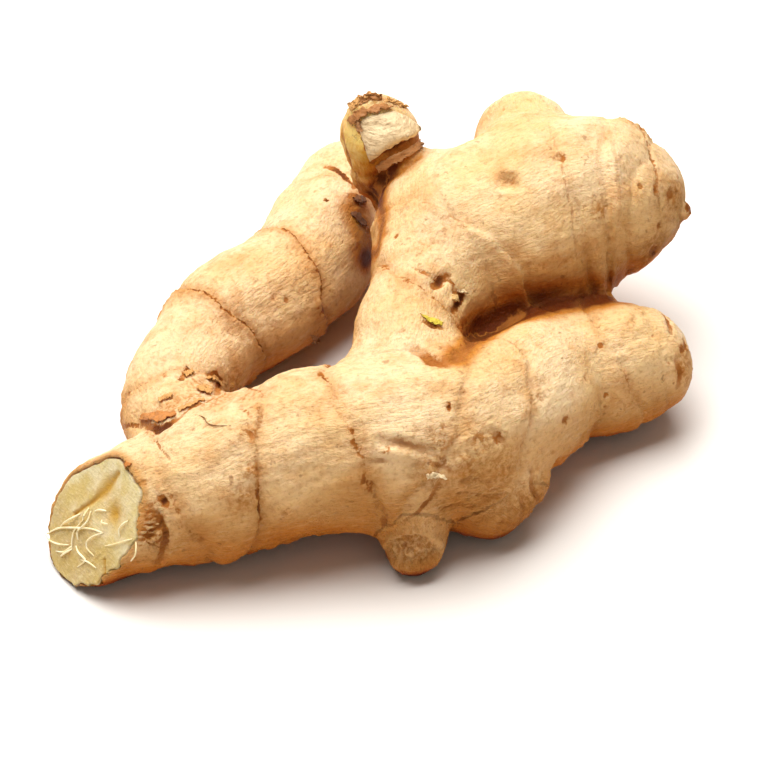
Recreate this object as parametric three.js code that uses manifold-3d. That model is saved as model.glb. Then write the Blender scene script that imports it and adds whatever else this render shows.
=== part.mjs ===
// A fresh ginger root (a rhizome, as sold), lying on a flat surface.
// Millimetres, +Z up. At the end the root is moved so that the origin lies on the surface that
// it rests on, under the middle of its box.
//
// The root grew as one piece, so it is one solid. A thick body runs from a cut end to a blunt tip.
// A finger lies behind it, a neck rises from its middle and swells into the biggest knob,
// and buds, stubs and knobs stand out of them. Scars of shed scale leaves ring every finger.
// The root is described as a distance: each finger is a spine with a radius, the spines are
// merged with soft joints, and the surface is where the merged distance is zero.

import * as THREE from "three";
import Module from "manifold-3d";

// Driving dimensions
const CELL = 1.1; // the grid on which the surface is first found
const TRIANGLES = 11400; // what is left of that surface after thinning
const SAMPLE_STEP = 2; // spacing of the places where a spine is sampled
const FAR = 12; // beyond this distance a finger's relief isn't worked out
const COLLAR_HEIGHT = 0.5; // how far a ring scar's collar stands out
const COLLAR_RISE = 3.2; // length over which the collar rises towards the scar
const GROOVE_DEPTH = 0.4; // how deep the skin dips just past the scar
const GROOVE_FALL = 1.8; // length over which that dip fades
const SCAR_WIDTH = 1.1; // half the width of the step from collar to groove
const SWELL = 0.9; // how far the skin swells between two scars
const SCAR_WANDER = 0.7; // how far a scar wanders from its plane
const LUMP_HEIGHT = 0.55; // height of the broad unevenness of the skin

// The fingers, in the order in which they are merged. A spine's points are [x, y, z, radius]
// and blend is the softness of the joint with what was merged before. A ring is the scar of a
// shed leaf: at is its distance along the spine, and tilt is how much further along it lies
// on the sides that face +X, +Y and +Z. collar is how many times the usual height its
// collars have.
const FINGERS = [
  {
    name: "body",
    spine: [
      [-76, -43.5, 12.2, 11],
      [-68, -39, 12.2, 12],
      [-60, -35, 12.4, 12.8],
      [-51, -32, 14.2, 14.2],
      [-38.5, -30, 17.2, 16],
      [-29, -26.6, 19, 17],
      [-18, -24, 21, 17.7],
      [-5, -23, 22.5, 17.7],
      [10, -20, 22.5, 17.6],
      [24, -11.2, 20.6, 16.6],
      [38.5, 6.5, 15.6, 14.6],
      [49, 10.5, 14.6, 15.1],
      [58, 12.8, 15.4, 11.7],
    ],
    rings: [
      { at: 36, tilt: [0, -1, -3] },
      { at: 50, tilt: [0, 3, 7] },
      { at: 75, tilt: [0, -2, -4] },
      { at: 89, tilt: [0, 6, 8] },
      { at: 104, tilt: [0, 5, 7] },
      { at: 145, tilt: [0, -2, -5] },
    ],
  },
  {
    name: "bulge",
    blend: 8,
    spine: [
      [17, -20, 17, 12],
      [20.5, -23, 11, 10.8],
      [22.5, -24, 9.8, 10.2],
    ],
    rings: [],
  },
  {
    name: "neck",
    blend: 9,
    spine: [
      [3, -11, 25, 12],
      [7, 10, 31, 12],
      [12, 30, 32, 14.4],
      [11.6, 48.5, 33, 13],
    ],
    rings: [{ at: 22, tilt: [-6.5, 0, 0] }],
  },
  {
    name: "knob",
    blend: 9,
    spine: [
      [16.8, 33, 31, 15],
      [26.5, 37, 32, 20.5],
      [37, 42.5, 34, 21.5],
      [46.5, 45.2, 35.6, 20],
      [53, 45.4, 36.2, 15.7],
      [58.5, 44.4, 36.4, 9.2],
      [63, 43, 36.4, 4.6],
      [68, 41.4, 36.2, 2],
    ],
    rings: [
      { at: 25, tilt: [0, 1, 1] },
      { at: 36, tilt: [0, 1, 1] },
      { at: 45, tilt: [0, 0, 0] },
    ],
  },
  {
    name: "horn",
    blend: 9,
    spine: [
      [34.5, 55, 36, 11.5],
      [32.5, 68, 38, 10.5],
    ],
    rings: [],
  },
  {
    name: "finger",
    blend: 6,
    collar: 1.4,
    spine: [
      [-41, -18, 17, 11.6],
      [-47.5, 3, 14, 11.4],
      [-41.2, 19, 13.5, 12.5],
      [-35.4, 28, 14.5, 14.4],
      [-23, 40.5, 14.2, 14],
      [-13.6, 60.6, 13.6, 13.9],
      [-8.9, 77, 13.1, 12.6],
      [-8.4, 83, 12.2, 9.7],
    ],
    rings: [
      { at: 16, tilt: [0, 0, 0] },
      { at: 44, tilt: [0, 0, 0] },
      { at: 70, tilt: [-5, 0, 0] },
      { at: 96, tilt: [0, 0, 0] },
    ],
  },
  {
    name: "stub",
    blend: 2.5,
    reference: [1, 0, 0],
    spine: [
      [3, 55, 33, 7.7],
      [0.5, 55.5, 40, 8.6],
      [-0.5, 55.5, 47, 8.8],
      [-2.5, 55, 52.5, 5.6],
    ],
    rings: [
      { at: 8, tilt: [0, 0, 0] },
      { at: 18, tilt: [1, 0, 0] },
    ],
  },
  {
    name: "foot",
    blend: 5,
    reference: [1, 0, 0],
    spine: [
      [5.6, -33, 14, 7.3],
      [7, -36, 6.2, 6.6],
    ],
    rings: [],
  },
];

// The scar between the neck and the knob lies in a plane of its own.
const SADDLE_POINT = new THREE.Vector3(14.8, 27.6, 32);
const SADDLE_FACING = new THREE.Vector3(0.51, 0.85, 0.11).normalize();
const SADDLE_REACH = 30; // the scar ends at this distance from the point
const SADDLE_FADE = 8; // length over which it fades out

// Where the root was cut, and which way the cut faces.
const CUT_POINT = new THREE.Vector3(-63.6, -36.4, 12.4);
const CUT_FACING = new THREE.Vector3(-0.69, -0.49, 0.53).normalize();

const UP = [0, 0, 1];

// The broad unevenness of the skin, from three waves that don't line up.
function lump(x, y, z) {
  return (
    LUMP_HEIGHT *
    (Math.sin(x / 5.3 + z / 9.1 + 0.7) * Math.sin(y / 6.1 - z / 7.7 + 1.9) +
      0.6 * Math.sin(x / 3.1 - y / 3.7 + 2.3) * Math.sin(z / 3.3 + y / 8.3))
  );
}

// A scar's section: x is the distance past it, towards the finger's tip.
function scarRelief(x, times = 1) {
  const t = THREE.MathUtils.smoothstep(x, -SCAR_WIDTH, SCAR_WIDTH);
  const collar = times * COLLAR_HEIGHT * Math.exp(Math.min(x, 0) / COLLAR_RISE);
  const groove = GROOVE_DEPTH * Math.exp(-Math.max(x, 0) / GROOVE_FALL);
  return (1 - t) * collar - t * groove;
}

// One finger: a spine sampled into short straight stretches, with its radius and its scars.
class Finger {
  constructor({ spine, blend = 0, collar = 1, rings, reference = UP }) {
    Object.assign(this, { blend, collar, rings, reference });
    const points = spine.map((p) => new THREE.Vector3(p[0], p[1], p[2]));
    const curve = new THREE.CatmullRomCurve3(points, false, "centripetal");
    const length = curve.getLength();
    this.length = length + spine.at(-1)[3];
    const count = Math.ceil(length / SAMPLE_STEP);
    // The radius follows the same points, at the distances at which the curve passes them.
    const passed = curve.getLengths(200);
    const stops = points.map((_, i) => passed[Math.round((i / (points.length - 1)) * 200)]);
    this.samples = [];
    this.tangents = [];
    this.low = [Infinity, Infinity, Infinity];
    this.high = [-Infinity, -Infinity, -Infinity];
    for (let i = 0; i <= count; i++) {
      const along = (i / count) * length;
      const place = curve.getPointAt(i / count).toArray();
      const radius = radiusAt(along, stops, spine);
      this.samples.push([...place, radius, along]);
      this.tangents.push(curve.getTangentAt(i / count).toArray());
      this.low = this.low.map((low, n) => Math.min(low, place[n] - radius));
      this.high = this.high.map((high, n) => Math.max(high, place[n] + radius));
    }
  }

  // How far a point is outside the finger's box, which is never more than its true distance.
  outside(x, y, z) {
    const dx = Math.max(this.low[0] - x, 0, x - this.high[0]);
    const dy = Math.max(this.low[1] - y, 0, y - this.high[1]);
    const dz = Math.max(this.low[2] - z, 0, z - this.high[2]);
    return Math.sqrt(dx * dx + dy * dy + dz * dz);
  }

  // The distance from a point to this finger's skin, before its fine relief.
  nearest(x, y, z) {
    let best = Infinity;
    for (let i = 1; i < this.samples.length; i++) {
      const a = this.samples[i - 1];
      const b = this.samples[i];
      const ux = b[0] - a[0];
      const uy = b[1] - a[1];
      const uz = b[2] - a[2];
      const dot = (x - a[0]) * ux + (y - a[1]) * uy + (z - a[2]) * uz;
      const t = Math.min(1, Math.max(0, dot / (ux * ux + uy * uy + uz * uz)));
      const qx = x - a[0] - t * ux;
      const qy = y - a[1] - t * uy;
      const qz = z - a[2] - t * uz;
      const away = Math.sqrt(qx * qx + qy * qy + qz * qz);
      const distance = away - a[3] - t * (b[3] - a[3]);
      if (distance < best) {
        best = distance;
        this.found = { index: i, away, q: [qx, qy, qz] };
      }
    }
    return best;
  }

  distance(x, y, z) {
    const outside = this.outside(x, y, z);
    if (outside > FAR) return outside;
    const rough = this.nearest(x, y, z);
    if (Math.abs(rough) > FAR || !this.rings.length) return rough;
    return rough - this.relief(x, y, z);
  }

  // How far a point is past the plane that crosses the spine at one of its samples.
  past(i, x, y, z) {
    const [sx, sy, sz] = this.samples[i];
    const [tx, ty, tz] = this.tangents[i];
    return (x - sx) * tx + (y - sy) * ty + (z - sz) * tz;
  }

  // The distance along the spine, shared out evenly between the planes on both sides.
  findAlong(x, y, z) {
    let i = this.found.index;
    let before = this.past(i - 1, x, y, z);
    let after = this.past(i, x, y, z);
    while (before < 0 && i > 1) {
      i--;
      after = before;
      before = this.past(i - 1, x, y, z);
    }
    while (after > 0 && i < this.samples.length - 1) {
      i++;
      before = after;
      after = this.past(i, x, y, z);
    }
    const share = before / Math.max(before - after, 1e-6);
    const [from, to] = [this.samples[i - 1][4], this.samples[i][4]];
    this.found.tangent = this.tangents[i];
    return from + THREE.MathUtils.clamp(share, -10, 10) * (to - from);
  }

  // The scars and the swelling between them.
  relief(x, y, z) {
    const along = this.findAlong(x, y, z);
    const { away, q, tangent } = this.found;
    const angle = this.angle(q, tangent);
    const wander = SCAR_WANDER * (Math.sin(3 * angle + along / 9) + 0.5 * Math.sin(7 * angle));
    let height = 0;
    let before = 0;
    let after = this.length;
    for (const { at, tilt } of this.rings) {
      const shift = (tilt[0] * q[0] + tilt[1] * q[1] + tilt[2] * q[2]) / Math.max(away, 1);
      const past = along + wander - at - shift;
      height += scarRelief(past, this.collar);
      if (past > 0) before = Math.max(before, at + shift);
      else after = Math.min(after, at + shift);
    }
    const share = THREE.MathUtils.clamp((along + wander - before) / (after - before), 0, 1);
    return height + SWELL * (Math.sin(Math.PI * share) - 0.6);
  }

  // The direction round the spine, from the side that the reference gives.
  angle(q, tangent) {
    const side = cross(tangent, this.reference);
    return Math.atan2(dot(cross(side, tangent), q), dot(side, q));
  }
}

const dot = (a, b) => a[0] * b[0] + a[1] * b[1] + a[2] * b[2];
const cross = (a, b) => [
  a[1] * b[2] - a[2] * b[1],
  a[2] * b[0] - a[0] * b[2],
  a[0] * b[1] - a[1] * b[0],
];

function radiusAt(along, stops, spine) {
  let i = 1;
  while (i < stops.length - 1 && stops[i] < along) i++;
  const t = THREE.MathUtils.smoothstep(along, stops[i - 1], stops[i]);
  return THREE.MathUtils.lerp(spine[i - 1][3], spine[i][3], t);
}

const fingers = FINGERS.map((row) => new Finger(row));

// Merges two distances with a soft joint.
function softMin(a, b, blend) {
  const h = Math.max(blend - Math.abs(a - b), 0) / Math.max(blend, 1e-9);
  return Math.min(a, b) - (h * h * blend) / 4;
}

function saddleScar(x, y, z) {
  const away = Math.hypot(x - SADDLE_POINT.x, y - SADDLE_POINT.y, z - SADDLE_POINT.z);
  if (away > SADDLE_REACH) return 0;
  const fade = 1 - THREE.MathUtils.smoothstep(away, SADDLE_REACH - SADDLE_FADE, SADDLE_REACH);
  const past =
    (x - SADDLE_POINT.x) * SADDLE_FACING.x +
    (y - SADDLE_POINT.y) * SADDLE_FACING.y +
    (z - SADDLE_POINT.z) * SADDLE_FACING.z;
  return fade * scarRelief(past + SCAR_WANDER * Math.sin(x / 4 + z / 5));
}

function skin(x, y, z) {
  let distance = fingers[0].distance(x, y, z);
  for (let i = 1; i < fingers.length; i++)
    distance = softMin(distance, fingers[i].distance(x, y, z), fingers[i].blend);
  return distance - lump(x, y, z) - saddleScar(x, y, z);
}

// Finds the surface with marching tetrahedra: each cell of the grid is six tetrahedra round
// one diagonal, and each tetrahedron that the skin crosses gives one or two triangles.
const CORNERS = [0, 1, 2, 3, 4, 5, 6, 7].map((i) => [i & 1, (i >> 1) & 1, (i >> 2) & 1]);
const BLOCK = 5; // grid points a side of the blocks that are looked at first
const BLOCK_MARGIN = 4; // more than the relief and the soft joints move the skin
const TETRAHEDRA = [
  [0, 1, 3, 7],
  [0, 3, 2, 7],
  [0, 2, 6, 7],
  [0, 6, 4, 7],
  [0, 4, 5, 7],
  [0, 5, 1, 7],
];

function findSurface(low, high) {
  const size = high.map((h, i) => Math.ceil((h - low[i]) / CELL) + 1);
  const key = (i, j, k) => i + size[0] * (j + size[1] * k);
  const values = new Float32Array(size[0] * size[1] * size[2]);
  // A block of the grid that is far from the skin takes the distance at its middle.
  const starts = size.map((n) => Array.from({ length: Math.ceil(n / BLOCK) }, (_, i) => i * BLOCK));
  for (const k0 of starts[2])
    for (const j0 of starts[1])
      for (const i0 of starts[0]) {
        const middle = [i0, j0, k0].map((n, axis) => low[axis] + (n + (BLOCK - 1) / 2) * CELL);
        const rough = skin(...middle);
        const near = Math.abs(rough) < BLOCK * CELL + BLOCK_MARGIN;
        for (let k = k0; k < Math.min(k0 + BLOCK, size[2]); k++)
          for (let j = j0; j < Math.min(j0 + BLOCK, size[1]); j++)
            for (let i = i0; i < Math.min(i0 + BLOCK, size[0]); i++) {
              const place = [i, j, k].map((n, axis) => low[axis] + n * CELL);
              values[key(i, j, k)] = near ? skin(...place) : rough;
            }
      }

  const places = [];
  const triangles = [];
  const made = new Map();
  const cornerPlace = (c) => [
    low[0] + (c % size[0]) * CELL,
    low[1] + (Math.floor(c / size[0]) % size[1]) * CELL,
    low[2] + Math.floor(c / (size[0] * size[1])) * CELL,
  ];
  const crossing = (a, b) => {
    const name = a < b ? a * values.length + b : b * values.length + a;
    if (made.has(name)) return made.get(name);
    const t = THREE.MathUtils.clamp(values[a] / (values[a] - values[b]), 0.02, 0.98);
    const [p, q] = [cornerPlace(a), cornerPlace(b)];
    places.push(p.map((x, i) => x + t * (q[i] - x)));
    made.set(name, places.length - 1);
    return places.length - 1;
  };
  const addTriangle = (a, b, c, outward) => {
    const [p, q, r] = [a, b, c].map((i) => new THREE.Vector3(...places[i]));
    const normal = q.sub(p).cross(r.sub(p));
    triangles.push(normal.dot(outward) > 0 ? [a, b, c] : [a, c, b]);
  };
  for (let k = 0; k + 1 < size[2]; k++)
    for (let j = 0; j + 1 < size[1]; j++)
      for (let i = 0; i + 1 < size[0]; i++) {
        const cell = CORNERS.map(([x, y, z]) => key(i + x, j + y, k + z));
        const inside = cell.filter((c) => values[c] < 0).length;
        if (inside === 0 || inside === 8) continue;
        for (const tetrahedron of TETRAHEDRA) {
          const corners = tetrahedron.map((c) => cell[c]);
          const within = corners.filter((c) => values[c] < 0);
          const without = corners.filter((c) => values[c] >= 0);
          if (!within.length || !without.length) continue;
          const middle = (list) =>
            list
              .map((c) => new THREE.Vector3(...cornerPlace(c)))
              .reduce((sum, v) => sum.addScaledVector(v, 1 / list.length), new THREE.Vector3());
          const outward = middle(without).sub(middle(within));
          if (within.length === 2) {
            const [a, b] = within;
            const [c, d] = without;
            const quad = [crossing(a, c), crossing(a, d), crossing(b, d), crossing(b, c)];
            addTriangle(quad[0], quad[1], quad[2], outward);
            addTriangle(quad[0], quad[2], quad[3], outward);
          } else {
            const lone = within.length === 1 ? within[0] : without[0];
            const others = within.length === 1 ? without : within;
            addTriangle(...others.map((c) => crossing(lone, c)), outward);
          }
        }
      }
  return { places, triangles };
}

// Moves the places onto the skin itself, along the slope of the distance.
function settle(places) {
  const step = 0.05;
  for (const p of places)
    for (let pass = 0; pass < 2; pass++) {
      const here = skin(...p);
      const slope = [0, 1, 2].map((i) => {
        const q = [...p];
        q[i] += step;
        return (skin(...q) - here) / step;
      });
      const square = slope.reduce((sum, s) => sum + s * s, 0);
      const move = THREE.MathUtils.clamp(here / Math.max(square, 0.2), -0.5, 0.5);
      for (let i = 0; i < 3; i++) p[i] -= move * slope[i];
    }
}

// Thins a closed mesh by collapsing the edges that matter least to its form, measured by
// the planes of the triangles that each corner has stood for (quadric error).
function thin(places, triangles, wanted) {
  const quadrics = places.map(() => new Float64Array(10));
  const touching = places.map(() => new Set());
  const faces = triangles.map((t) => [...t]);
  faces.forEach((face, f) => {
    const plane = planeOf(...face.map((v) => places[v]));
    for (const v of face) {
      touching[v].add(f);
      addPlane(quadrics[v], plane);
    }
  });
  const stamp = new Uint32Array(places.length);
  const queue = [];
  const offer = (a, b) => {
    const sum = quadrics[a].map((q, i) => q + quadrics[b][i]);
    const target = bestPlace(sum, places[a], places[b]);
    const span = Math.hypot(...places[a].map((x, i) => x - places[b][i]));
    const cost = errorAt(sum, target) + LENGTH_COST * span ** 2;
    pushHeap(queue, { cost, a, b, target, stamps: stamp[a] + stamp[b] });
  };
  const neighbours = (v) => {
    const found = new Set();
    for (const f of touching[v]) for (const w of faces[f]) if (w !== v) found.add(w);
    return found;
  };
  places.forEach((_, v) => {
    for (const w of neighbours(v)) if (v < w) offer(v, w);
  });

  let left = faces.length;
  while (left > wanted && queue.length) {
    const { a, b, target, stamps } = popHeap(queue);
    if (!touching[a] || !touching[b] || stamps !== stamp[a] + stamp[b]) continue;
    const shared = [...touching[a]].filter((f) => touching[b].has(f));
    const around = neighbours(b);
    const common = [...neighbours(a)].filter((v) => around.has(v));
    if (shared.length !== 2 || common.length !== 2) continue;
    if (turnsOver(a, b, target) || turnsOver(b, a, target)) continue;
    for (const f of shared) {
      for (const v of faces[f]) touching[v].delete(f);
      faces[f] = null;
    }
    for (const f of touching[b]) {
      faces[f] = faces[f].map((v) => (v === b ? a : v));
      touching[a].add(f);
    }
    touching[b] = null;
    places[a] = target;
    quadrics[a] = quadrics[a].map((q, i) => q + quadrics[b][i]);
    stamp[a] += stamp[b] + 1;
    left -= 2;
    for (const v of neighbours(a)) offer(a, v);
  }
  return faces.filter(Boolean);

  // Whether moving a corner to the target would turn one of its triangles over or flatten it.
  function turnsOver(v, other, target) {
    for (const f of touching[v]) {
      if (faces[f].includes(other)) continue;
      const before = planeOf(...faces[f].map((w) => places[w]));
      const after = planeOf(...faces[f].map((w) => (w === v ? target : places[w])));
      const cosine = before[0] * after[0] + before[1] * after[1] + before[2] * after[2];
      if (cosine < 0.4 || after[4] < 0.02 * after[5]) return true;
    }
    return false;
  }
}

const LENGTH_COST = 2e-4; // keeps the triangles' sides alike where the form is even

// A triangle's unit normal, its distance term, twice its area and its longest side squared.
function planeOf(p, q, r) {
  const u = [q[0] - p[0], q[1] - p[1], q[2] - p[2]];
  const v = [r[0] - p[0], r[1] - p[1], r[2] - p[2]];
  const n = [u[1] * v[2] - u[2] * v[1], u[2] * v[0] - u[0] * v[2], u[0] * v[1] - u[1] * v[0]];
  const area = Math.max(Math.hypot(...n), 1e-12);
  const [a, b, c] = n.map((x) => x / area);
  const w = [r[0] - q[0], r[1] - q[1], r[2] - q[2]];
  const longest = Math.max(...[u, v, w].map((e) => e[0] ** 2 + e[1] ** 2 + e[2] ** 2));
  return [a, b, c, -(a * p[0] + b * p[1] + c * p[2]), area, longest];
}

function addPlane(q, [a, b, c, d, area]) {
  const terms = [a * a, a * b, a * c, a * d, b * b, b * c, b * d, c * c, c * d, d * d];
  terms.forEach((term, i) => (q[i] += term * area));
}

function errorAt(q, [x, y, z]) {
  return (
    q[0] * x * x + 2 * q[1] * x * y + 2 * q[2] * x * z + 2 * q[3] * x +
    q[4] * y * y + 2 * q[5] * y * z + 2 * q[6] * y +
    q[7] * z * z + 2 * q[8] * z + q[9]
  );
}

// The place with the least error, kept near the edge it replaces.
function bestPlace(q, p, r) {
  const middle = p.map((x, i) => (x + r[i]) / 2);
  const m = new THREE.Matrix3().set(q[0], q[1], q[2], q[1], q[4], q[5], q[2], q[5], q[7]);
  if (Math.abs(m.determinant()) > 1e-6) {
    const best = new THREE.Vector3(-q[3], -q[6], -q[8]).applyMatrix3(m.invert());
    const span = Math.hypot(...p.map((x, i) => x - r[i]));
    if (best.distanceTo(new THREE.Vector3(...middle)) < span) return best.toArray();
  }
  return middle;
}

// A binary heap with the least cost on top.
function pushHeap(heap, item) {
  let i = heap.push(item) - 1;
  while (i > 0) {
    const parent = (i - 1) >> 1;
    if (heap[parent].cost <= item.cost) break;
    heap[i] = heap[parent];
    i = parent;
  }
  heap[i] = item;
}

function popHeap(heap) {
  const top = heap[0];
  const item = heap.pop();
  if (!heap.length) return top;
  let i = 0;
  for (;;) {
    let child = 2 * i + 1;
    if (child >= heap.length) break;
    if (child + 1 < heap.length && heap[child + 1].cost < heap[child].cost) child++;
    if (heap[child].cost >= item.cost) break;
    heap[i] = heap[child];
    i = child;
  }
  heap[i] = item;
  return top;
}

// The root's solid: the skin, then the cut end and the flat spots that it rests on.
const wasm = await Module();
wasm.setup();

function solid(places, triangles) {
  return new wasm.Manifold(
    new wasm.Mesh({
      numProp: 3,
      vertProperties: new Float32Array(places.flat()),
      triVerts: new Uint32Array(triangles.flat()),
    }),
  );
}

// A block whose top face passes through a point and faces a direction.
function blockBelow(point, facing, side) {
  const box = new THREE.BoxGeometry(side, side, side).translate(0, 0, -side / 2);
  box.applyQuaternion(new THREE.Quaternion().setFromUnitVectors(new THREE.Vector3(0, 0, 1), facing));
  box.translate(point.x, point.y, point.z);
  const position = box.getAttribute("position");
  const corners = [];
  const triangles = [];
  const numbers = [...box.index.array].map((i) => {
    const place = [position.getX(i), position.getY(i), position.getZ(i)];
    const same = corners.findIndex((c) => Math.hypot(...c.map((x, n) => x - place[n])) < 1e-3);
    return same >= 0 ? same : corners.push(place) - 1;
  });
  for (let i = 0; i < numbers.length; i += 3) triangles.push(numbers.slice(i, i + 3));
  return solid(corners, triangles);
}

const surface = findSurface([-90, -64, -6], [78, 98, 70]);
settle(surface.places);
const faces = thin(surface.places, surface.triangles, TRIANGLES);
const used = new Map();
faces.flat().forEach((v) => used.has(v) || used.set(v, used.size));
const kept = [...used.keys()].map((v) => surface.places[v]);
const whole = solid(kept, faces.map((f) => f.map((v) => used.get(v))));
const table = blockBelow(new THREE.Vector3(0, 0, 0), new THREE.Vector3(0, 0, 1), 300);
const offcut = blockBelow(CUT_POINT, CUT_FACING.clone().negate(), 80);
const root = whole.subtract(table).subtract(offcut);

const mesh = root.getMesh();
const geometry = new THREE.BufferGeometry();
geometry.setAttribute("position", new THREE.BufferAttribute(mesh.vertProperties, 3));
geometry.setIndex(new THREE.BufferAttribute(mesh.triVerts, 1));
geometry.computeBoundingBox();
const middle = geometry.boundingBox.getCenter(new THREE.Vector3());
geometry.translate(-middle.x, -middle.y, -geometry.boundingBox.min.z);
geometry.computeVertexNormals();

const skinMaterial = new THREE.MeshStandardMaterial({ color: 0xddb07a, roughness: 0.7, metalness: 0 });
const rhizome = new THREE.Mesh(geometry, skinMaterial);
rhizome.name = "rhizome";

const group = new THREE.Group();
group.add(rhizome);

export default group;
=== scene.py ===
import math

import bpy
import numpy as np
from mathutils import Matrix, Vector
from mathutils.bvhtree import BVHTree


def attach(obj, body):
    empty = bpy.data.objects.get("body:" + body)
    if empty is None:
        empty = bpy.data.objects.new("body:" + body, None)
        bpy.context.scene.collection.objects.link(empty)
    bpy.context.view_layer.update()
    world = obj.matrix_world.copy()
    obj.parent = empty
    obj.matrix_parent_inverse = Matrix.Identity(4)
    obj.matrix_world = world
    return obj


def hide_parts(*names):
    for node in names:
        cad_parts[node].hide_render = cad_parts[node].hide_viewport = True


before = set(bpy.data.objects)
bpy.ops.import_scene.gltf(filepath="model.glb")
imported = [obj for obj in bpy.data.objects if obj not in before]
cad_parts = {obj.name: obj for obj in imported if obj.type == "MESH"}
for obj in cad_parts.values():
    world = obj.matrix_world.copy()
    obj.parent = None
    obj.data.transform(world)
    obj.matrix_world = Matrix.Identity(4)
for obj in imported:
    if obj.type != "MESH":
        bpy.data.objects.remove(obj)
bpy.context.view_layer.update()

# Lengths here are in millimetres, in the frame in which the spines were laid out.
# MIDDLE is where the part's origin lies in that frame.
MIDDLE = np.array([-1.657, 22.142, 0.0])
VOXEL = 0.76  # size of the fine skin's cells
SETTLE_PASSES = 3
PER_SPAN = 24  # curve steps between two spine points
SAMPLE_STEP = 2.0
FAR = 12.0  # beyond this, a finger doesn't matter to a place
COLLAR_HEIGHT, COLLAR_RISE = 0.5, 3.2
GROOVE_DEPTH, GROOVE_FALL = 0.4, 1.6
SCAR_WIDTH = 0.6
SWELL = 0.9
SCAR_WANDER = 0.7
LUMP_HEIGHT = 0.55

# The camera looks down on the root from the front. A pixel is one of 768 across the picture.
ELEVATION = math.radians(42)
DISTANCE = 620.0
TARGET = np.array([0.0, 0.0, 20.0])
PIXELS_PER_MM = 4.5
PICTURE = 768
FOCAL_PIXELS = PIXELS_PER_MM * DISTANCE
FORWARD = np.array([0.0, math.cos(ELEVATION), -math.sin(ELEVATION)])
UPWARD = np.array([0.0, math.sin(ELEVATION), math.cos(ELEVATION)])
EYE = TARGET - DISTANCE * FORWARD

# The fingers as in the part: spine points are [x, y, z, radius], and a ring is
# (distance along the spine, how much further along it lies on the +X, +Y and +Z sides,
# how strong it is, from 0 to 1).
FINGERS = {
    "body": {
        "spine": [
            [-76, -43.5, 12.2, 11], [-68, -39, 12.2, 12], [-60, -35, 12.4, 12.8],
            [-51, -32, 14.2, 14.2], [-38.5, -30, 17.2, 16], [-29, -26.6, 19, 17],
            [-18, -24, 21, 17.7], [-5, -23, 22.5, 17.7], [10, -20, 22.5, 17.6],
            [24, -11.2, 20.6, 16.6], [38.5, 6.5, 15.6, 14.6], [49, 10.5, 14.6, 15.1],
            [58, 12.8, 15.4, 11.7],
        ],
        "rings": [
            (36, (0, -1, -3), 0.5), (50, (0, 3, 7), 0.82), (75, (0, -2, -4), 0.8),
            (89, (0, 6, 8), 0.35), (104, (0, 5, 7), 0.45), (145, (0, -2, -5), 0.5),
        ],
    },
    "bulge": {
        "blend": 8,
        "spine": [[17, -20, 17, 12], [20.5, -23, 11, 10.8], [22.5, -24, 9.8, 10.2]],
        "rings": [],
    },
    "neck": {
        "blend": 9,
        "spine": [[3, -11, 25, 12], [7, 10, 31, 12], [12, 30, 32, 14.4], [11.6, 48.5, 33, 13]],
        "rings": [(22, (-6.5, 0, 0), 0.8)],
    },
    "knob": {
        "blend": 9,
        "spine": [
            [16.8, 33, 31, 15], [26.5, 37, 32, 20.5], [37, 42.5, 34, 21.5],
            [46.5, 45.2, 35.6, 20], [53, 45.4, 36.2, 15.7], [58.5, 44.4, 36.4, 9.2],
            [63, 43, 36.4, 4.6], [68, 41.4, 36.2, 2],
        ],
        "rings": [(25, (0, 1, 1), 0.3), (36, (0, 1, 1), 0.12), (45, (0, 0, 0), 0.2)],
    },
    "horn": {"blend": 9, "spine": [[34.5, 55, 36, 11.5], [32.5, 68, 38, 10.5]], "rings": []},
    "finger": {
        "blend": 6,
        "spine": [
            [-41, -18, 17, 11.6], [-47.5, 3, 14, 11.4], [-41.2, 19, 13.5, 12.5],
            [-35.4, 28, 14.5, 14.4], [-23, 40.5, 14.2, 14], [-13.6, 60.6, 13.6, 13.9],
            [-8.9, 77, 13.1, 12.6], [-8.4, 83, 12.2, 9.7],
        ],
        "collar": 1.4,
        "rings": [
            (16, (0, 0, 0), 0.9), (44, (0, 0, 0), 1.0), (70, (-5, 0, 0), 1.0), (96, (0, 0, 0), 0.5),
        ],
    },
    "stub": {
        "blend": 2.5,
        "reference": (1, 0, 0),
        "spine": [[3, 55, 33, 7.7], [0.5, 55.5, 40, 8.6], [-0.5, 55.5, 47, 8.8], [-2.5, 55, 52.5, 5.6]],
        "rings": [(8, (0, 0, 0), 0.3)],
    },
    "foot": {
        "blend": 5,
        "reference": (1, 0, 0),
        "spine": [[5.6, -33, 14, 7.3], [7, -36, 6.2, 6.6]],
        "rings": [],
    },
}
NUMBER = {name: number for number, name in enumerate(FINGERS)}

# The scar between the neck and the knob lies in a plane of its own.
SADDLE_POINT = np.array([14.8, 27.6, 32])
SADDLE_FACING = np.array([0.51, 0.85, 0.11])
SADDLE_FACING /= np.linalg.norm(SADDLE_FACING)
SADDLE_REACH, SADDLE_FADE, SADDLE_TONE = 30, 8, 0.4

CUT_POINT = np.array([-63.6, -36.4, 12.4])
CUT_FACING = np.array([-0.69, -0.49, 0.53])
CUT_FACING /= np.linalg.norm(CUT_FACING)
CUT_ACROSS = np.cross([0, 0, 1], CUT_FACING)
CUT_ACROSS /= np.linalg.norm(CUT_ACROSS)
CUT_UP = np.cross(CUT_FACING, CUT_ACROSS)
CUT_EDGE = 1.0  # softness of the edge between the skin and the cut
RIM, RIM_UNEVEN = 1.15, 0.6  # width of the skin's edge that stands round the flesh


def smooth(x, low, high):
    t = np.clip((x - low) / (high - low), 0, 1)
    return t * t * (3 - 2 * t)


def peak(x, width):
    """One at x = 0, falling off over the width on both sides."""
    return np.exp(-((x / width) ** 2))


def soft_min(a, b, blend):
    h = np.maximum(blend - np.abs(a - b), 0) / max(blend, 1e-9)
    return np.minimum(a, b) - h * h * blend / 4


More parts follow.
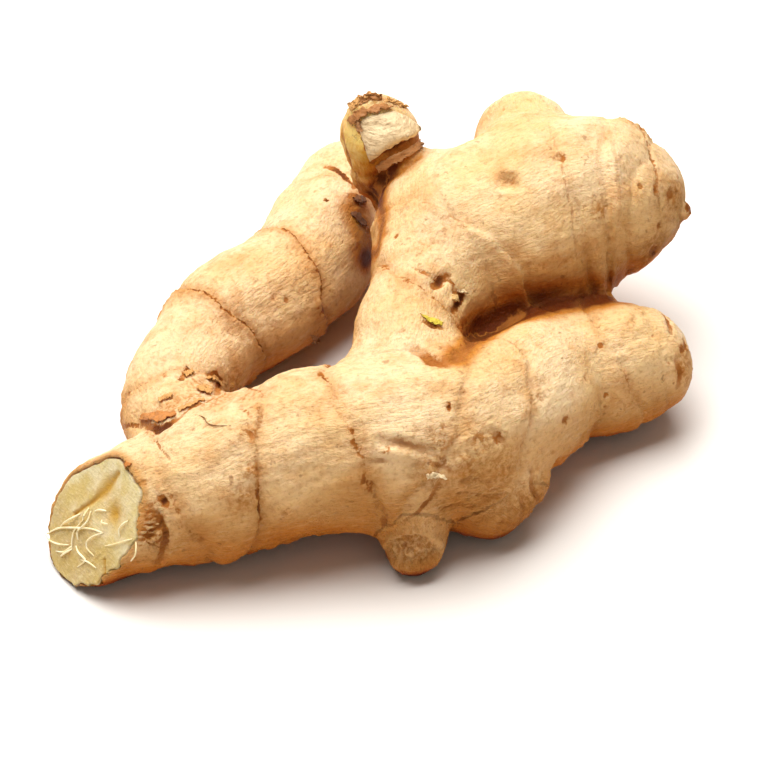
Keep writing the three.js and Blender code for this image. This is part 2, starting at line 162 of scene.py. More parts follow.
def noise(points, scale, seed=0):
    """Smooth noise, about -1 to 1, at each row of points, with features of the size scale."""
    q = points / np.asarray(scale, float) + 31.7 * (seed + 1)
    base = np.floor(q).astype(np.int64)
    f = q - base
    w = f * f * f * (f * (f * 6 - 15) + 10)
    total = np.zeros(len(q))
    for corner in np.ndindex(2, 2, 2):
        cell = base + corner
        h = cell[:, 0] * 73856093 ^ cell[:, 1] * 19349663 ^ cell[:, 2] * 83492791 ^ seed * 374761393
        h = ((h & 0xFFFFFFFF) * 1274126177) & 0xFFFFFFFF
        h = ((h ^ (h >> 15)) * 668265263) & 0xFFFFFFFF
        h ^= h >> 13
        slopes = np.stack([h & 1023, (h >> 10) & 1023, (h >> 20) & 1023], 1) / 511.5 - 1
        share = np.prod(np.where(corner, w, 1 - w), axis=1)
        total += share * ((f - corner) * slopes).sum(1)
    return total * 1.5


def catmull_rom(points, per_span=PER_SPAN):
    """A centripetal Catmull-Rom curve through the points."""
    pts = [np.array(p, float) for p in points]
    pts = [2 * pts[0] - pts[1]] + pts + [2 * pts[-1] - pts[-2]]
    out = []
    for i in range(1, len(pts) - 2):
        p0, p1, p2, p3 = pts[i - 1 : i + 3]
        d0, d1, d2 = (math.sqrt(np.linalg.norm(b - a)) for a, b in ((p0, p1), (p1, p2), (p2, p3)))
        t1 = ((p1 - p0) / d0 - (p2 - p0) / (d0 + d1) + (p2 - p1) / d1) * d1
        t2 = ((p2 - p1) / d1 - (p3 - p1) / (d1 + d2) + (p3 - p2) / d2) * d1
        for k in range(per_span):
            w = k / per_span
            bend = (-3 * p1 + 3 * p2 - 2 * t1 - t2) * w**2
            out.append(p1 + t1 * w + bend + (2 * p1 - 2 * p2 + t1 + t2) * w**3)
    out.append(pts[-2])
    return np.array(out)


def scar_relief(x, times=1.0):
    """A scar's height at the distance x past it: a collar before it and a groove behind."""
    t = smooth(x, -SCAR_WIDTH, SCAR_WIDTH)
    collar = times * COLLAR_HEIGHT * np.exp(np.minimum(x, 0) / COLLAR_RISE)
    groove = GROOVE_DEPTH * np.exp(-np.maximum(x, 0) / GROOVE_FALL)
    return (1 - t) * collar - t * groove


class Finger:
    """A finger of the root: a curved spine with a radius at each point, and its rings."""

    def __init__(self, spine, rings, blend=0, collar=1.0, reference=(0, 0, 1)):
        self.rings, self.blend, self.collar = rings, blend, collar
        self.reference = np.array(reference, float)
        dense = catmull_rom([p[:3] for p in spine])
        passed = np.concatenate([[0], np.cumsum(np.linalg.norm(np.diff(dense, axis=0), axis=1))])
        self.length = passed[-1]
        count = math.ceil(self.length / SAMPLE_STEP)
        self.s = np.linspace(0, self.length, count + 1)
        self.p = np.stack([np.interp(self.s, passed, dense[:, i]) for i in range(3)], 1)
        stops = passed[::PER_SPAN][: len(spine)]
        radii = [p[3] for p in spine]
        i = np.clip(np.searchsorted(stops, self.s) - 1, 0, len(stops) - 2)
        t = smooth(self.s, stops[i], stops[i + 1])
        self.r = np.take(radii, i) * (1 - t) + np.take(radii, i + 1) * t
        step = np.gradient(self.p, axis=0)
        self.t = step / np.linalg.norm(step, axis=1, keepdims=True)
        self.low = (self.p - self.r[:, None]).min(0)
        self.high = (self.p + self.r[:, None]).max(0)

    def nearest(self, points):
        """For each point: the distance to the plain skin, the segment, and the way off the spine."""
        best = np.full(len(points), np.inf)
        index = np.zeros(len(points), int)
        off = np.zeros((len(points), 3))
        for i in range(1, len(self.s)):
            a, u = self.p[i - 1], self.p[i] - self.p[i - 1]
            t = np.clip((points - a) @ u / (u @ u), 0, 1)
            q = points - a - t[:, None] * u
            d = np.sqrt((q * q).sum(1)) - self.r[i - 1] - t * (self.r[i] - self.r[i - 1])
            closer = d < best
            best[closer] = d[closer]
            index[closer] = i
            off[closer] = q[closer]
        return best, index, off

    def along(self, points, index):
        """The distance along the spine, shared out between the planes that cross it."""

        def past(i):
            return ((points - self.p[i]) * self.t[i]).sum(1)

        i = index.copy()
        for _ in range(8):
            back = (past(i - 1) < 0) & (i > 1)
            on = (past(i) > 0) & (i < len(self.s) - 1) & ~back
            i += on.astype(int) - back.astype(int)
        before, after = past(i - 1), past(i)
        share = np.clip(before / np.maximum(before - after, 1e-6), -10, 10)
        return self.s[i - 1] + share * (self.s[i] - self.s[i - 1]), self.t[i]

    def study(self, points):
        """The skin's distance with its scars, and where each point is on the finger."""
        rough, index, off = self.nearest(points)
        s, tangent = self.along(points, index)
        away = np.linalg.norm(off, axis=1)
        side = np.cross(tangent, self.reference)
        over = np.cross(side, tangent)
        x, y = (side * off).sum(1), (over * off).sum(1)
        angle = np.arctan2(y, x)
        wander = SCAR_WANDER * (np.sin(3 * angle + s / 9) + 0.5 * np.sin(7 * angle))
        ragged = 0.35 * noise(points, 2.2, 5) + 0.7 * noise(points, 6, 6)
        place = s + wander + ragged
        height = np.zeros(len(points))
        nearest_ring, tone = np.full(len(points), 99.0), np.zeros(len(points))
        before = np.zeros(len(points))
        after = np.full(len(points), self.length + self.r[-1])
        for at, tilt, strength in self.rings:
            shift = (off @ np.array(tilt, float)) / np.maximum(away, 1)
            past = place - at - shift
            height += (0.1 + 0.9 * strength) * scar_relief(past, self.collar)
            ring = at + shift
            before = np.where(past > 0, np.maximum(before, ring), before)
            after = np.where(past > 0, after, np.minimum(after, ring))
            closer = np.abs(past) < np.abs(nearest_ring)
            nearest_ring, tone = np.where(closer, past, nearest_ring), np.where(closer, strength, tone)
        if self.rings:
            share = np.clip((place - before) / np.maximum(after - before, 0.1), 0, 1)
            height += SWELL * (np.sin(np.pi * share) - 0.6)
        length = np.maximum(np.hypot(x, y), 1e-6)
        grain = np.stack([s, away * x / length, away * y / length], 1)
        return rough - height, nearest_ring, tone, grain


fingers = [Finger(**row) for row in FINGERS.values()]


def study_skin(points):
    """The root's distance at each point, and the ring, its tone, the grain and the finger there."""
    n = len(points)
    distance = np.full(n, 1e3)
    first = np.full(n, 1e3)
    ring, tone, grain, owner = np.full(n, 99.0), np.zeros(n), np.zeros((n, 3)), np.zeros(n, int)
    for number, finger in enumerate(fingers):
        out = np.maximum(np.maximum(finger.low - points, points - finger.high), 0)
        near = np.where((out * out).sum(1) < FAR * FAR)[0]
        if not len(near):
            continue
        d, past, strength, g = finger.study(points[near])
        distance[near] = soft_min(distance[near], d, finger.blend)
        nearer = d < first[near]
        hit = near[nearer]
        first[hit], ring[hit], tone[hit] = d[nearer], past[nearer], strength[nearer]
        grain[hit], owner[hit] = g[nearer] + 200.0 * number, number
    x, y, z = points.T
    lump = np.sin(x / 5.3 + z / 9.1 + 0.7) * np.sin(y / 6.1 - z / 7.7 + 1.9)
    lump += 0.6 * np.sin(x / 3.1 - y / 3.7 + 2.3) * np.sin(z / 3.3 + y / 8.3)
    away = np.linalg.norm(points - SADDLE_POINT, axis=1)
    fade = 1 - smooth(away, SADDLE_REACH - SADDLE_FADE, SADDLE_REACH)
    past = (points - SADDLE_POINT) @ SADDLE_FACING + SCAR_WANDER * np.sin(x / 4 + z / 5)
    past += 0.6 * noise(points, 5, 6)
    distance -= LUMP_HEIGHT * lump + fade * scar_relief(past)
    joined = np.isin(owner, (NUMBER["neck"], NUMBER["knob"]))
    on_saddle = (fade > 0.4) & (np.abs(past) < np.abs(ring)) & joined
    ring, tone = np.where(on_saddle, past, ring), np.where(on_saddle, SADDLE_TONE * fade, tone)
    return distance, ring, tone, grain, owner


def height_over_cut(points):
    return (points - CUT_POINT) @ CUT_FACING


def root_distance(points):
    """The root's distance with its cut end, whose edge is softened."""
    return -soft_min(-study_skin(points)[0], -height_over_cut(points), CUT_EDGE)


# Meshes and pieces
def place_piece(mesh, name):
    """Puts a mesh in the scene as a piece that rides on the root."""
    piece = bpy.data.objects.new(name, mesh)
    bpy.context.scene.collection.objects.link(piece)
    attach(piece, "root")
    return piece


def make_mesh(name, verts, faces):
    mesh = bpy.data.meshes.new(name)
    mesh.from_pydata(((np.asarray(verts, float) - MIDDLE) / 1000).tolist(), [], [list(f) for f in faces])
    shade_smooth(mesh)
    return mesh


def shade_smooth(mesh):
    mesh.polygons.foreach_set("use_smooth", [True] * len(mesh.polygons))
    mesh.update()


def set_attribute(mesh, name, values):
    values = np.asarray(values, np.float32)
    kind = "FLOAT_VECTOR" if values.ndim == 2 else "FLOAT"
    attribute = mesh.attributes.new(name, kind, "POINT")
    attribute.data.foreach_set("vector" if values.ndim == 2 else "value", values.ravel())


def vertex_places(mesh):
    co = np.zeros(len(mesh.vertices) * 3, np.float32)
    mesh.vertices.foreach_get("co", co)
    return co.reshape(-1, 3).astype(float) * 1000 + MIDDLE


def move_vertices(mesh, places):
    mesh.vertices.foreach_set("co", ((places - MIDDLE) / 1000).astype(np.float32).ravel())
    mesh.update()


def vertex_normals(mesh):
    co = np.zeros(len(mesh.vertices) * 3, np.float32)
    mesh.vertex_normals.foreach_get("vector", co)
    return co.reshape(-1, 3).astype(float)


def pixel_ray(u, v):
    a, b = (u - PICTURE / 2) / FOCAL_PIXELS, (PICTURE / 2 - v) / FOCAL_PIXELS
    ray = FORWARD + b * UPWARD + np.array([a, 0, 0])
    return ray / np.linalg.norm(ray)


def on_cut(u, v):
    """The place on the cut's plane that lies behind a picture pixel."""
    ray = pixel_ray(u, v)
    return EYE + ray * ((CUT_POINT - EYE) @ CUT_FACING) / (ray @ CUT_FACING)


class Surface:
    """Finds the places on a mesh that lie behind picture pixels."""

    def __init__(self, mesh, normals):
        self.places, self.normals = vertex_places(mesh), normals
        faces = [tuple(face.vertices) for face in mesh.polygons]
        self.tree = BVHTree.FromPolygons(self.places.tolist(), faces)
        sight = self.places - EYE
        flat = np.stack([sight[:, 0], -(sight @ UPWARD)], 1)
        self.seen_at = PICTURE / 2 + FOCAL_PIXELS * flat / (sight @ FORWARD)[:, None]

    def at_pixel(self, u, v):
        """The place behind a pixel, or next to it where the pixel is off the outline."""
        place = self.tree.ray_cast(Vector(EYE), Vector(pixel_ray(u, v)))[0]
        if place is None:
            return self.places[np.argmin(((self.seen_at - (u, v)) ** 2).sum(1))]
        return np.array(place)

    def normal_near(self, place):
        return self.normals[np.argmin(((self.places - place) ** 2).sum(1))]

    def line(self, pixels, step=4):
        """Places along a line drawn on the picture."""
        out = []
        for (u0, v0), (u1, v1) in zip(pixels, pixels[1:]):
            count = max(1, int(math.hypot(u1 - u0, v1 - v0) / step))
            for k in range(count + 1):
                out.append(self.at_pixel(u0 + (u1 - u0) * k / count, v0 + (v1 - v0) * k / count))
        return np.array(out)


def line_distance(points, line, reach=12):
    """How far each point is from a line, and what share of the line lies before it."""
    near = np.where(((points > line.min(0) - reach) & (points < line.max(0) + reach)).all(1))[0]
    found, share = np.full(len(points), 99.0), np.zeros(len(points))
    for k in range(1, len(line)):
        a, u = line[k - 1], line[k] - line[k - 1]
        t = np.clip((points[near] - a) @ u / max(u @ u, 1e-9), 0, 1)
        d = np.linalg.norm(points[near] - a - t[:, None] * u, axis=1)
        closer = d < found[near]
        found[near[closer]] = d[closer]
        share[near[closer]] = (k - 1 + t[closer]) / (len(line) - 1)
    return found, share


# The fine skin: the solid's mesh is remade evenly, then settled on the same distance.
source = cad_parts["rhizome"]
copy = bpy.data.objects.new("copy", source.data.copy())
bpy.context.scene.collection.objects.link(copy)
remesh = copy.modifiers.new("remesh", "REMESH")
remesh.mode = "VOXEL"
remesh.voxel_size = VOXEL / 1000
evaluated = copy.evaluated_get(bpy.context.evaluated_depsgraph_get())
skin_mesh = bpy.data.meshes.new_from_object(evaluated)
bpy.data.objects.remove(copy)
skin_mesh.name = "skin"
skin_mesh.materials.clear()

places = vertex_places(skin_mesh)
for _ in range(SETTLE_PASSES):
    normals = vertex_normals(skin_mesh)
    places -= normals * np.clip(root_distance(places), -1, 1)[:, None]
    places[:, 2] = np.maximum(places[:, 2], 0)
    move_vertices(skin_mesh, places)
normals = vertex_normals(skin_mesh)
_, ring, ring_tone, grain, owner = study_skin(places)
over_cut = height_over_cut(places)
plain_skin = Surface(skin_mesh, normals)


def find_occlusion(surface, reach=16.0, ways=26):
    """How much of what each place faces is closed off nearby by the root or the floor, 0 to 1; the skin's
    colour paints shade by it.
    """
    heights = 1 - (2 * np.arange(ways) + 1) / ways
    turns = np.arange(ways) * math.pi * (3 - math.sqrt(5))
    closed, total = np.zeros(len(surface.places)), np.zeros(len(surface.places))
    starts = surface.places + 0.5 * surface.normals
    for height, turn in zip(heights, turns):
        flat = math.sqrt(1 - height * height)
        way = np.array([flat * math.cos(turn), flat * math.sin(turn), height])
        facing = surface.normals @ way
        ray = Vector(way)
        for i in np.where(facing > 0.08)[0]:
            hit = surface.tree.ray_cast(starts[i], ray, reach)[3]
            if height < 0:
                floor_away = -surface.places[i, 2] / height
                hit = min(floor_away, reach if hit is None else hit)
            closed[i] += facing[i] * (1 - min(hit, reach) / reach if hit is not None else 0)
            total[i] += facing[i]
    return closed / np.maximum(total, 1e-6)


occlusion_shade = find_occlusion(plain_skin, ways=26)

# The deep crevices between the knob and the lobe, between the neck and the side finger, and at
# the stub, where more shade is painted into the skin: (pixels, narrow reach, wide reach).
SHADE_CREVICES = [
    ([(457, 357), (473, 340), (497, 331), (520, 317), (560, 305), (604, 300)], 3.2, 8.0),
    ([(380, 198), (383, 220), (378, 250), (366, 262)], 2.2, 4.5),
    ([(370, 195), (377, 203)], 2.6, 4.5),
    ([(377, 190), (383, 177), (391, 168)], 1.6, 3.0),
]
for pixels, narrow, wide in SHADE_CREVICES:
    d = line_distance(places, plain_skin.line(pixels), 20)[0]
    occlusion_shade = np.minimum(1, occlusion_shade + 0.32 * peak(d, narrow) + 0.16 * peak(d, wide))

# The skin's relief, in millimetres, and its stains and painted shade, from 0 to 1.
# mark is the distance to the nearest mark, as a share of the mark's half width.
relief = np.zeros(len(places))
mark, mark_and_shade_dark = np.full(len(places), 9.0), np.zeros(len(places))
calm = 1 - smooth(occlusion_shade, 0.35, 0.7)  # less relief in the creases between fingers
is_body = np.isin(owner, (NUMBER["body"], NUMBER["bulge"], NUMBER["foot"]))
is_stub = owner == NUMBER["stub"]
# This facing measure also paints light on top and shade underneath into the skin's colour.
underside_shade = smooth(-normals[:, 2], -0.75, 0.6)  # 0 on top of a finger, 1 underneath

patch = smooth(noise(places, 17, 1), -0.35, 0.55)
wrinkle = noise(grain, (6.5, 2.1, 2.1), 2) + 0.8 * noise(grain, (3.4, 1.3, 1.3), 3)
relief += calm * (0.18 + 0.28 * patch) * (0.6 + 0.6 * underside_shade) * wrinkle * np.where(is_body, 1.2, 0.75)
near_ring = np.exp(-np.abs(ring) / 4.5)
relief += calm * near_ring * 0.26 * noise(grain, (3.4, 9, 9), 4)
relief += calm * 0.26 * noise(places, 5.5, 7) + 0.12 * noise(places, 2.2, 8)
relief += 0.3 * noise(places, 11, 18)

# Frayed edges where the scale leaves came off: a thin raised lip, dark in places.
broken = np.maximum(smooth(noise(places, 7, 9), -0.35, 0.35), smooth(ring_tone, 0.7, 1.0))
ring_dark = ring_tone * (0.25 + 0.75 * broken)
relief += calm * peak(ring + 0.55, 0.6) * (0.05 + 0.32 * ring_dark)
relief -= calm * peak(ring - 0.75, 0.65) * 0.2

# Small pores and root scars, scattered evenly over the skin.
PORES, KNOB_END_PORES, KNOB_END = 230, 60, 50
random = np.random.default_rng(7)
pore_dark = np.zeros(len(places))
knob_end = np.where(places[:, 0] > KNOB_END)[0]
chosen = [random.choice(len(places), PORES, False), random.choice(knob_end, KNOB_END_PORES, False)]
chosen = np.concatenate(chosen)
for k, c in enumerate(chosen):
    size = random.uniform(0.5, 1.1) if k % 6 else random.uniform(1.1, 1.9)
    d = np.linalg.norm(places - places[c], axis=1)
    close = np.where(d < 4 * size)[0]
    x = d[close] / size
    relief[close] += calm[close] * (0.18 * peak(x - 1.3, 0.5) - 0.24 * peak(x, 1))
    pore_dark[close] += random.uniform(0.1, 0.5) * peak(x, 0.9)

# Lines that the picture shows: (pixels, half width, depth, lip, darkness). Depths and widths
# are in millimetres, and a negative depth is a ridge. Where noted, the darkness is painted shadow.
STROKES = [
    ([(383, 441), (400, 443), (418, 449), (433, 452)], 1.1, 1.1, 0.7, 0.35),
    ([(388, 451), (404, 455), (420, 461)], 1.6, -0.6, 0.2, 0.0),
    ([(373, 163), (387, 154), (401, 147), (415, 139), (421, 131)], 0.9, 0.8, 0.0, 1.0),
    ([(430, 462), (440, 466), (450, 470)], 0.6, 0.5, 0.4, 0.4),
    ([(443, 478), (436, 486), (430, 500), (418, 512), (404, 522)], 0.6, 0.5, 0.5, 0.45),
    ([(524, 404), (522, 418), (518, 430)], 0.8, -0.6, 0.5, 0.2),
    ([(603, 108), (612, 140), (618, 180), (619, 215), (615, 250)], 0.5, -0.5, 0.3, 0.2),
    ([(545, 115), (560, 160), (572, 210), (577, 260)], 0.4, 0.3, 0.3, 0.25),
    ([(626, 106), (644, 134), (656, 172), (660, 205)], 0.5, 0.4, 0.4, 0.4),
    ([(490, 225), (506, 250), (514, 290)], 0.6, -0.5, 0.3, 0.1),
    ([(436, 455), (446, 462), (440, 472)], 0.5, 0.4, 0.5, 0.4),
    ([(452, 482), (470, 478), (490, 482)], 0.5, 0.4, 0.4, 0.2),
    ([(446, 494), (466, 492), (486, 496), (504, 492)], 0.5, 0.4, 0.4, 0.2),
    ([(440, 508), (462, 504), (484, 508)], 0.5, 0.4, 0.4, 0.2),
    ([(373, 461), (388, 461)], 0.7, 0.4, 0.5, 0.3),
    ([(325, 166), (333, 168), (343, 174), (357, 189)], 0.8, 0.5, 0.3, 0.9),
    # the hole between the neck and the side finger: sunk, and its darkness is painted shade
    ([(362, 190), (370, 198), (376, 206)], 2.6, 1.4, 0.0, 1.0),
    ([(352, 197), (362, 203)], 1.7, -0.6, 0.0, 0.95),
    # the crevice at the stub's base: a shallow groove, and its darkness is painted shade
    ([(383, 167), (381, 178), (378, 190)], 1.7, 0.9, 0.2, 1.0),
    ([(387, 162), (390, 165)], 0.9, 0.7, 0.0, 1.0),
    ([(380, 160), (395, 153), (410, 145), (423, 141)], 1.8, 0.4, 0.0, 0.55),
    ([(356, 122), (361, 134), (367, 150), (372, 160)], 0.8, 0.5, 0.0, 0.7),
    ([(344, 120), (343, 135), (347, 152), (353, 170), (361, 188)], 0.6, 0.2, 0.0, 0.45),
    ([(414, 268), (426, 274), (433, 277)], 0.6, 0.4, 0.3, 0.5),
    ([(434, 287), (440, 281), (447, 276)], 1.15, 1.1, 0.35, 1.0),
    ([(448, 278), (453, 285), (456, 290)], 0.5, 0.4, 0.3, 0.55),
    ([(455, 292), (463, 296), (459, 304), (454, 311)], 1.05, 1.1, 0.4, 1.0),
    ([(424, 321), (432, 326), (442, 329)], 0.7, 0.5, 0.0, 0.85),
    # the fold at the neck's foot: sunk as a groove, and the shadow under its overhang is painted
    ([(416, 349), (424, 354), (434, 360), (445, 362), (455, 358)], 1.8, 1.5, 0.0, 0.6),
    # the crease under the knob: deepened, with painted shadow along it
    ([(457, 357), (473, 338), (497, 330), (520, 316)], 1.6, 1.0, 0.0, 0.9),
    ([(625, 104), (632, 108), (640, 112)], 0.7, 0.3, 0.2, 0.9),
    ([(650, 132), (655, 142)], 0.8, 0.3, 0.2, 0.7),
    ([(655, 185), (656, 194)], 0.7, 0.3, 0.2, 0.7),
    ([(655, 250), (654, 258)], 0.7, 0.3, 0.2, 0.8),
    ([(492, 430), (500, 438), (507, 446)], 0.8, 0.5, 0.35, 0.35),
    ([(430, 468), (440, 474), (450, 480)], 1.3, -0.45, 0.2, 0.1),
    ([(500, 176), (510, 180), (518, 188)], 1.3, 0.8, 0.2, 0.3),
    ([(448, 404), (450, 409)], 0.7, 0.3, 0.2, 0.9),
    ([(161, 498), (166, 505)], 1.1, 0.6, 0.2, 1.0),
    ([(150, 506), (159, 519), (166, 533), (164, 546), (158, 562)], 0.9, 0.6, 0.5, 0.75),
    ([(138, 482), (144, 483)], 0.9, 0.6, 0.0, 0.8),
    ([(532, 512), (536, 498), (531, 484), (533, 470)], 0.9, 0.5, 0.35, 0.4),
    ([(520, 524), (524, 508), (519, 492)], 0.8, 0.4, 0.3, 0.3),
    ([(660, 310), (668, 320), (671, 332)], 0.8, 0.4, 0.4, 0.65),
    ([(676, 362), (680, 374), (677, 386)], 0.9, 0.5, 0.4, 0.6),
    ([(684, 340), (686, 352)], 0.7, 0.3, 0.3, 0.7),
    # painted shadow under the flap where the side finger leaves the body, over a shallow groove
    ([(141, 421), (150, 426), (160, 427), (170, 423), (178, 418)], 1.35, 1.2, 0.0, 1.0),
    ([(120, 428), (130, 425), (140, 426)], 0.6, 0.4, 0.2, 0.7),
    ([(145, 432), (155, 440), (161, 449), (172, 462)], 0.35, 0.25, 0.2, 0.45),
    ([(180, 416), (190, 408), (204, 402), (218, 396)], 0.8, 0.5, 0.5, 0.6),
    ([(182, 378), (188, 368), (195, 374)], 0.8, 0.5, 0.4, 0.8),
    ([(208, 376), (216, 374), (220, 381), (217, 395)], 0.9, 0.5, 0.4, 0.8),
    ([(190, 404), (196, 403), (203, 406)], 0.8, -0.4, 0.2, 0.5),
    ([(240, 408), (247, 412), (251, 418)], 0.5, 0.4, 0.3, 0.5),
    ([(244, 430), (251, 434), (253, 442)], 0.5, 0.4, 0.3, 0.5),
]
# The torn band beside the cut end: short ridges side by side.
for k in range(9):
    left, right, v = 141 - 9 * math.sin(k / 2.9), 153 + 12 * math.sin(k / 2.9), 508 + 4.6 * k
    STROKES.append(([(left, v + 1), ((left + right) / 2, v - 2), (right, v + 1)], 0.3, 0.6, 0.7, 0.6))

# Round eyes and spots that the picture shows: (u, v, radius, depth, darkness).
SPOTS = [
    (508, 183, 2.2, 1.3, 0.1), (511, 189, 1.2, -0.6, 0.0), (562, 158, 1.2, 0.4, 0.5),
    (326, 200, 0.8, 0.3, 0.9), (139, 473, 2.0, -1.3, 0.1), (688, 208, 1.6, -0.5, 0.75),
    (318, 338, 1.5, 0.7, 0.8), (556, 474, 3.2, 1.8, 0.1), (548, 498, 2.8, -1.4, 0.1),
    (498, 438, 1.5, 0.5, 0.6), (395, 236, 0.8, 0.2, 0.5), (566, 420, 1.2, 0.4, 0.5),
    (606, 396, 0.8, 0.25, 0.5), (600, 346, 0.8, 0.2, 0.5), (287, 300, 0.8, 0.2, 0.4),
    (182, 378, 1.0, 0.3, 0.8), (171, 397, 0.8, 0.3, 0.6), (204, 418, 0.7, 0.3, 0.4),
    (634, 107, 1.4, 0.4, 0.8), (648, 121, 1.1, 0.4, 0.6), (662, 142, 1.3, 0.4, 0.5),
    (677, 165, 1.2, 0.3, 0.6), (671, 195, 1.7, 0.5, 0.45), (654, 251, 1.8, 0.5, 0.6),
    (647, 262, 1.1, 0.3, 0.6), (640, 186, 0.9, 0.3, 0.4), (652, 160, 0.8, 0.3, 0.5),
    (660, 226, 0.9, 0.3, 0.5), (666, 120, 1.0, 0.3, 0.5), (682, 350, 1.2, 0.4, 0.7),
]


def add_mark(ratio, darkness):
    closer = ratio < mark
    mark[closer] = ratio[closer]
    mark_and_shade_dark[closer] = darkness[closer]


for pixels, half, depth, lip, darkness in STROKES:
    d, share = line_distance(places, plain_skin.line(pixels))
    taper = np.sin(np.pi * np.clip(share, 0.08, 0.92)) ** 0.5
    ratio = (d + 0.3 * noise(places, 1.8, 12)) / half
    relief += taper * (0.6 * lip * peak(ratio - 1.9, 0.7) - depth * peak(ratio, 1))
    add_mark(d / half, darkness * taper)
for u, v, size, depth, darkness in SPOTS:
    d = np.linalg.norm(places - plain_skin.at_pixel(u, v), axis=1) / size
    x = d + 0.35 * noise(places, 1.6, 13)
    relief += 0.25 * abs(depth) * peak(x - 1.5, 0.45) - depth * peak(x, 1)
    add_mark(d, np.full(len(places), darkness))

# The dry, crusty skin: at the side finger's root, round the cut end, over the bulge and so on,
# as (u, v, reach).
CRUSTS = [
    (205, 385, 6), (190, 398, 5), (172, 405, 4), (160, 412, 4), (222, 396, 4), (246, 398, 3),
    (154, 534, 4), (154, 516, 4), (438, 476, 4), (530, 500, 7), (515, 520, 5), (418, 558, 5),
    (684, 365, 4), (462, 330, 4), (400, 150, 3), (358, 206, 3), (250, 434, 3), (600, 210, 3),
    (358, 104, 4), (375, 100, 4), (470, 470, 6), (500, 470, 6), (455, 500, 5), (490, 500, 6),
    (440, 442, 4), (232, 385, 5), (216, 400, 4), (400, 160, 3), (384, 178, 3), (655, 130, 5),
    (674, 196, 5), (652, 248, 5), (638, 106, 4), (245, 500, 4), (251, 470, 3), (262, 550, 5),
    (300, 546, 5), (332, 543, 4), (480, 440, 4), (430, 470, 4), (474, 520, 4),
]
crust = 0.55 * near_ring * ring_dark
for u, v, size in CRUSTS:
    d = np.linalg.norm(places - plain_skin.at_pixel(u, v), axis=1)
    crust = np.maximum(crust, peak(d, size))
flaky = np.abs(noise(grain, (3.2, 1.6, 1.6), 14)) + 0.6 * np.abs(noise(places, 1.7, 15))
relief += crust * 0.95 * (flaky - 0.35)

# The small root under the bulge is broken off: a sunken rough face in a raised rim.
FACE, FACE_HALF, FACE_REACH = (413, 551), (29, 17), 12
seen = np.hypot(*((plain_skin.seen_at - FACE) / FACE_HALF).T)
front = smooth(-(normals @ FORWARD), 0.1, 0.4)
front *= np.linalg.norm(places - plain_skin.at_pixel(*FACE), axis=1) < FACE_REACH
face = front * smooth(-seen, -1.05, -0.8)
relief += 0.5 * front * peak(seen - 1.05, 0.14) + face * (1.2 * flaky - 1.5)
crust = np.maximum(crust, 0.9 * face)

# Nothing but the rim's own form where the skin meets the cut, and a recess that holds the flesh.
DEEPEST, HIGHEST = -1.6, 1.1
relief = np.clip(relief, DEEPEST, HIGHEST) * smooth(-over_cut, 0.4, 2.2)
places += normals * relief[:, None]

ANGLES, RADII = 240, 60
RECESS, FLESH_BACK = 2.0, 1.7
around = np.arange(ANGLES) / ANGLES * 2 * math.pi
ways = np.cos(around)[:, None] * CUT_ACROSS + np.sin(around)[:, None] * CUT_UP
steps = np.arange(6, 20, 0.1)
tried = CUT_POINT + ways[:, None, :] * steps[None, :, None]
outside = study_skin(tried.reshape(-1, 3))[0].reshape(ANGLES, -1) > 0
edge = steps[np.argmax(outside, axis=1)]

# The flesh's own edge: the skin stands widest over it at the upper left, and is torn at the right.
torn = 0.35 * np.sin(11 * around) + 0.25 * np.sin(23 * around + 1)
rim_width = RIM + RIM_UNEVEN * np.cos(around - 2.2) + (0.3 + 0.7 * (np.cos(around) > 0.3)) * torn
flesh_edge = edge - rim_width


def inside_flesh(points):
    """How far points lie inside the edge of the cut flesh."""
    across, up = (points - CUT_POINT) @ CUT_ACROSS, (points - CUT_POINT) @ CUT_UP
    turn = np.arctan2(up, across) / (2 * math.pi) * ANGLES
    return np.interp(turn, np.arange(ANGLES), flesh_edge, period=ANGLES) - np.hypot(across, up)


inside = inside_flesh(places)
in_recess = smooth(inside, -0.5, 0.5) * (over_cut > -1.0)
on_rim = (over_cut > -1.0) * smooth(-inside, -0.6, 0.4)
lip = 0.35 * peak(inside + 0.5, 0.5) + 0.3 * noise(places, 1.6, 16)
places += (on_rim * lip)[:, None] * CUT_FACING
places -= RECESS * in_recess[:, None] * CUT_FACING
places[:, 2] = np.maximum(places[:, 2], 0)
move_vertices(skin_mesh, places)
shade_smooth(skin_mesh)

# What the skin's material reads at each place.
stub_left = plain_skin.at_pixel(354, 150)
yellow = is_stub * peak(np.linalg.norm(places - stub_left, axis=1), 9)
skin_values = {
    "from_ring": np.minimum(np.abs(ring), 20),
    "ring_dark": ring_dark,
    "mark": np.clip(mark, 0, 9),
    "mark_and_shade_dark": mark_and_shade_dark,
    "pore_dark": np.clip(pore_dark, 0, 1),
    "crust": np.clip(crust, 0, 1),
    "underside_shade": underside_shade,
    "occlusion_shade": occlusion_shade,
    "yellow": np.clip(1.2 * yellow, 0, 1),
    "rim": smooth(over_cut, -0.9, -0.2) * (1 - in_recess),
    "grain": grain,
}
for name, values in skin_values.items():
    set_attribute(skin_mesh, name, values)
skin = place_piece(skin_mesh, "root_skin")
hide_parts("rhizome")
skin_surface = Surface(skin_mesh, normals)

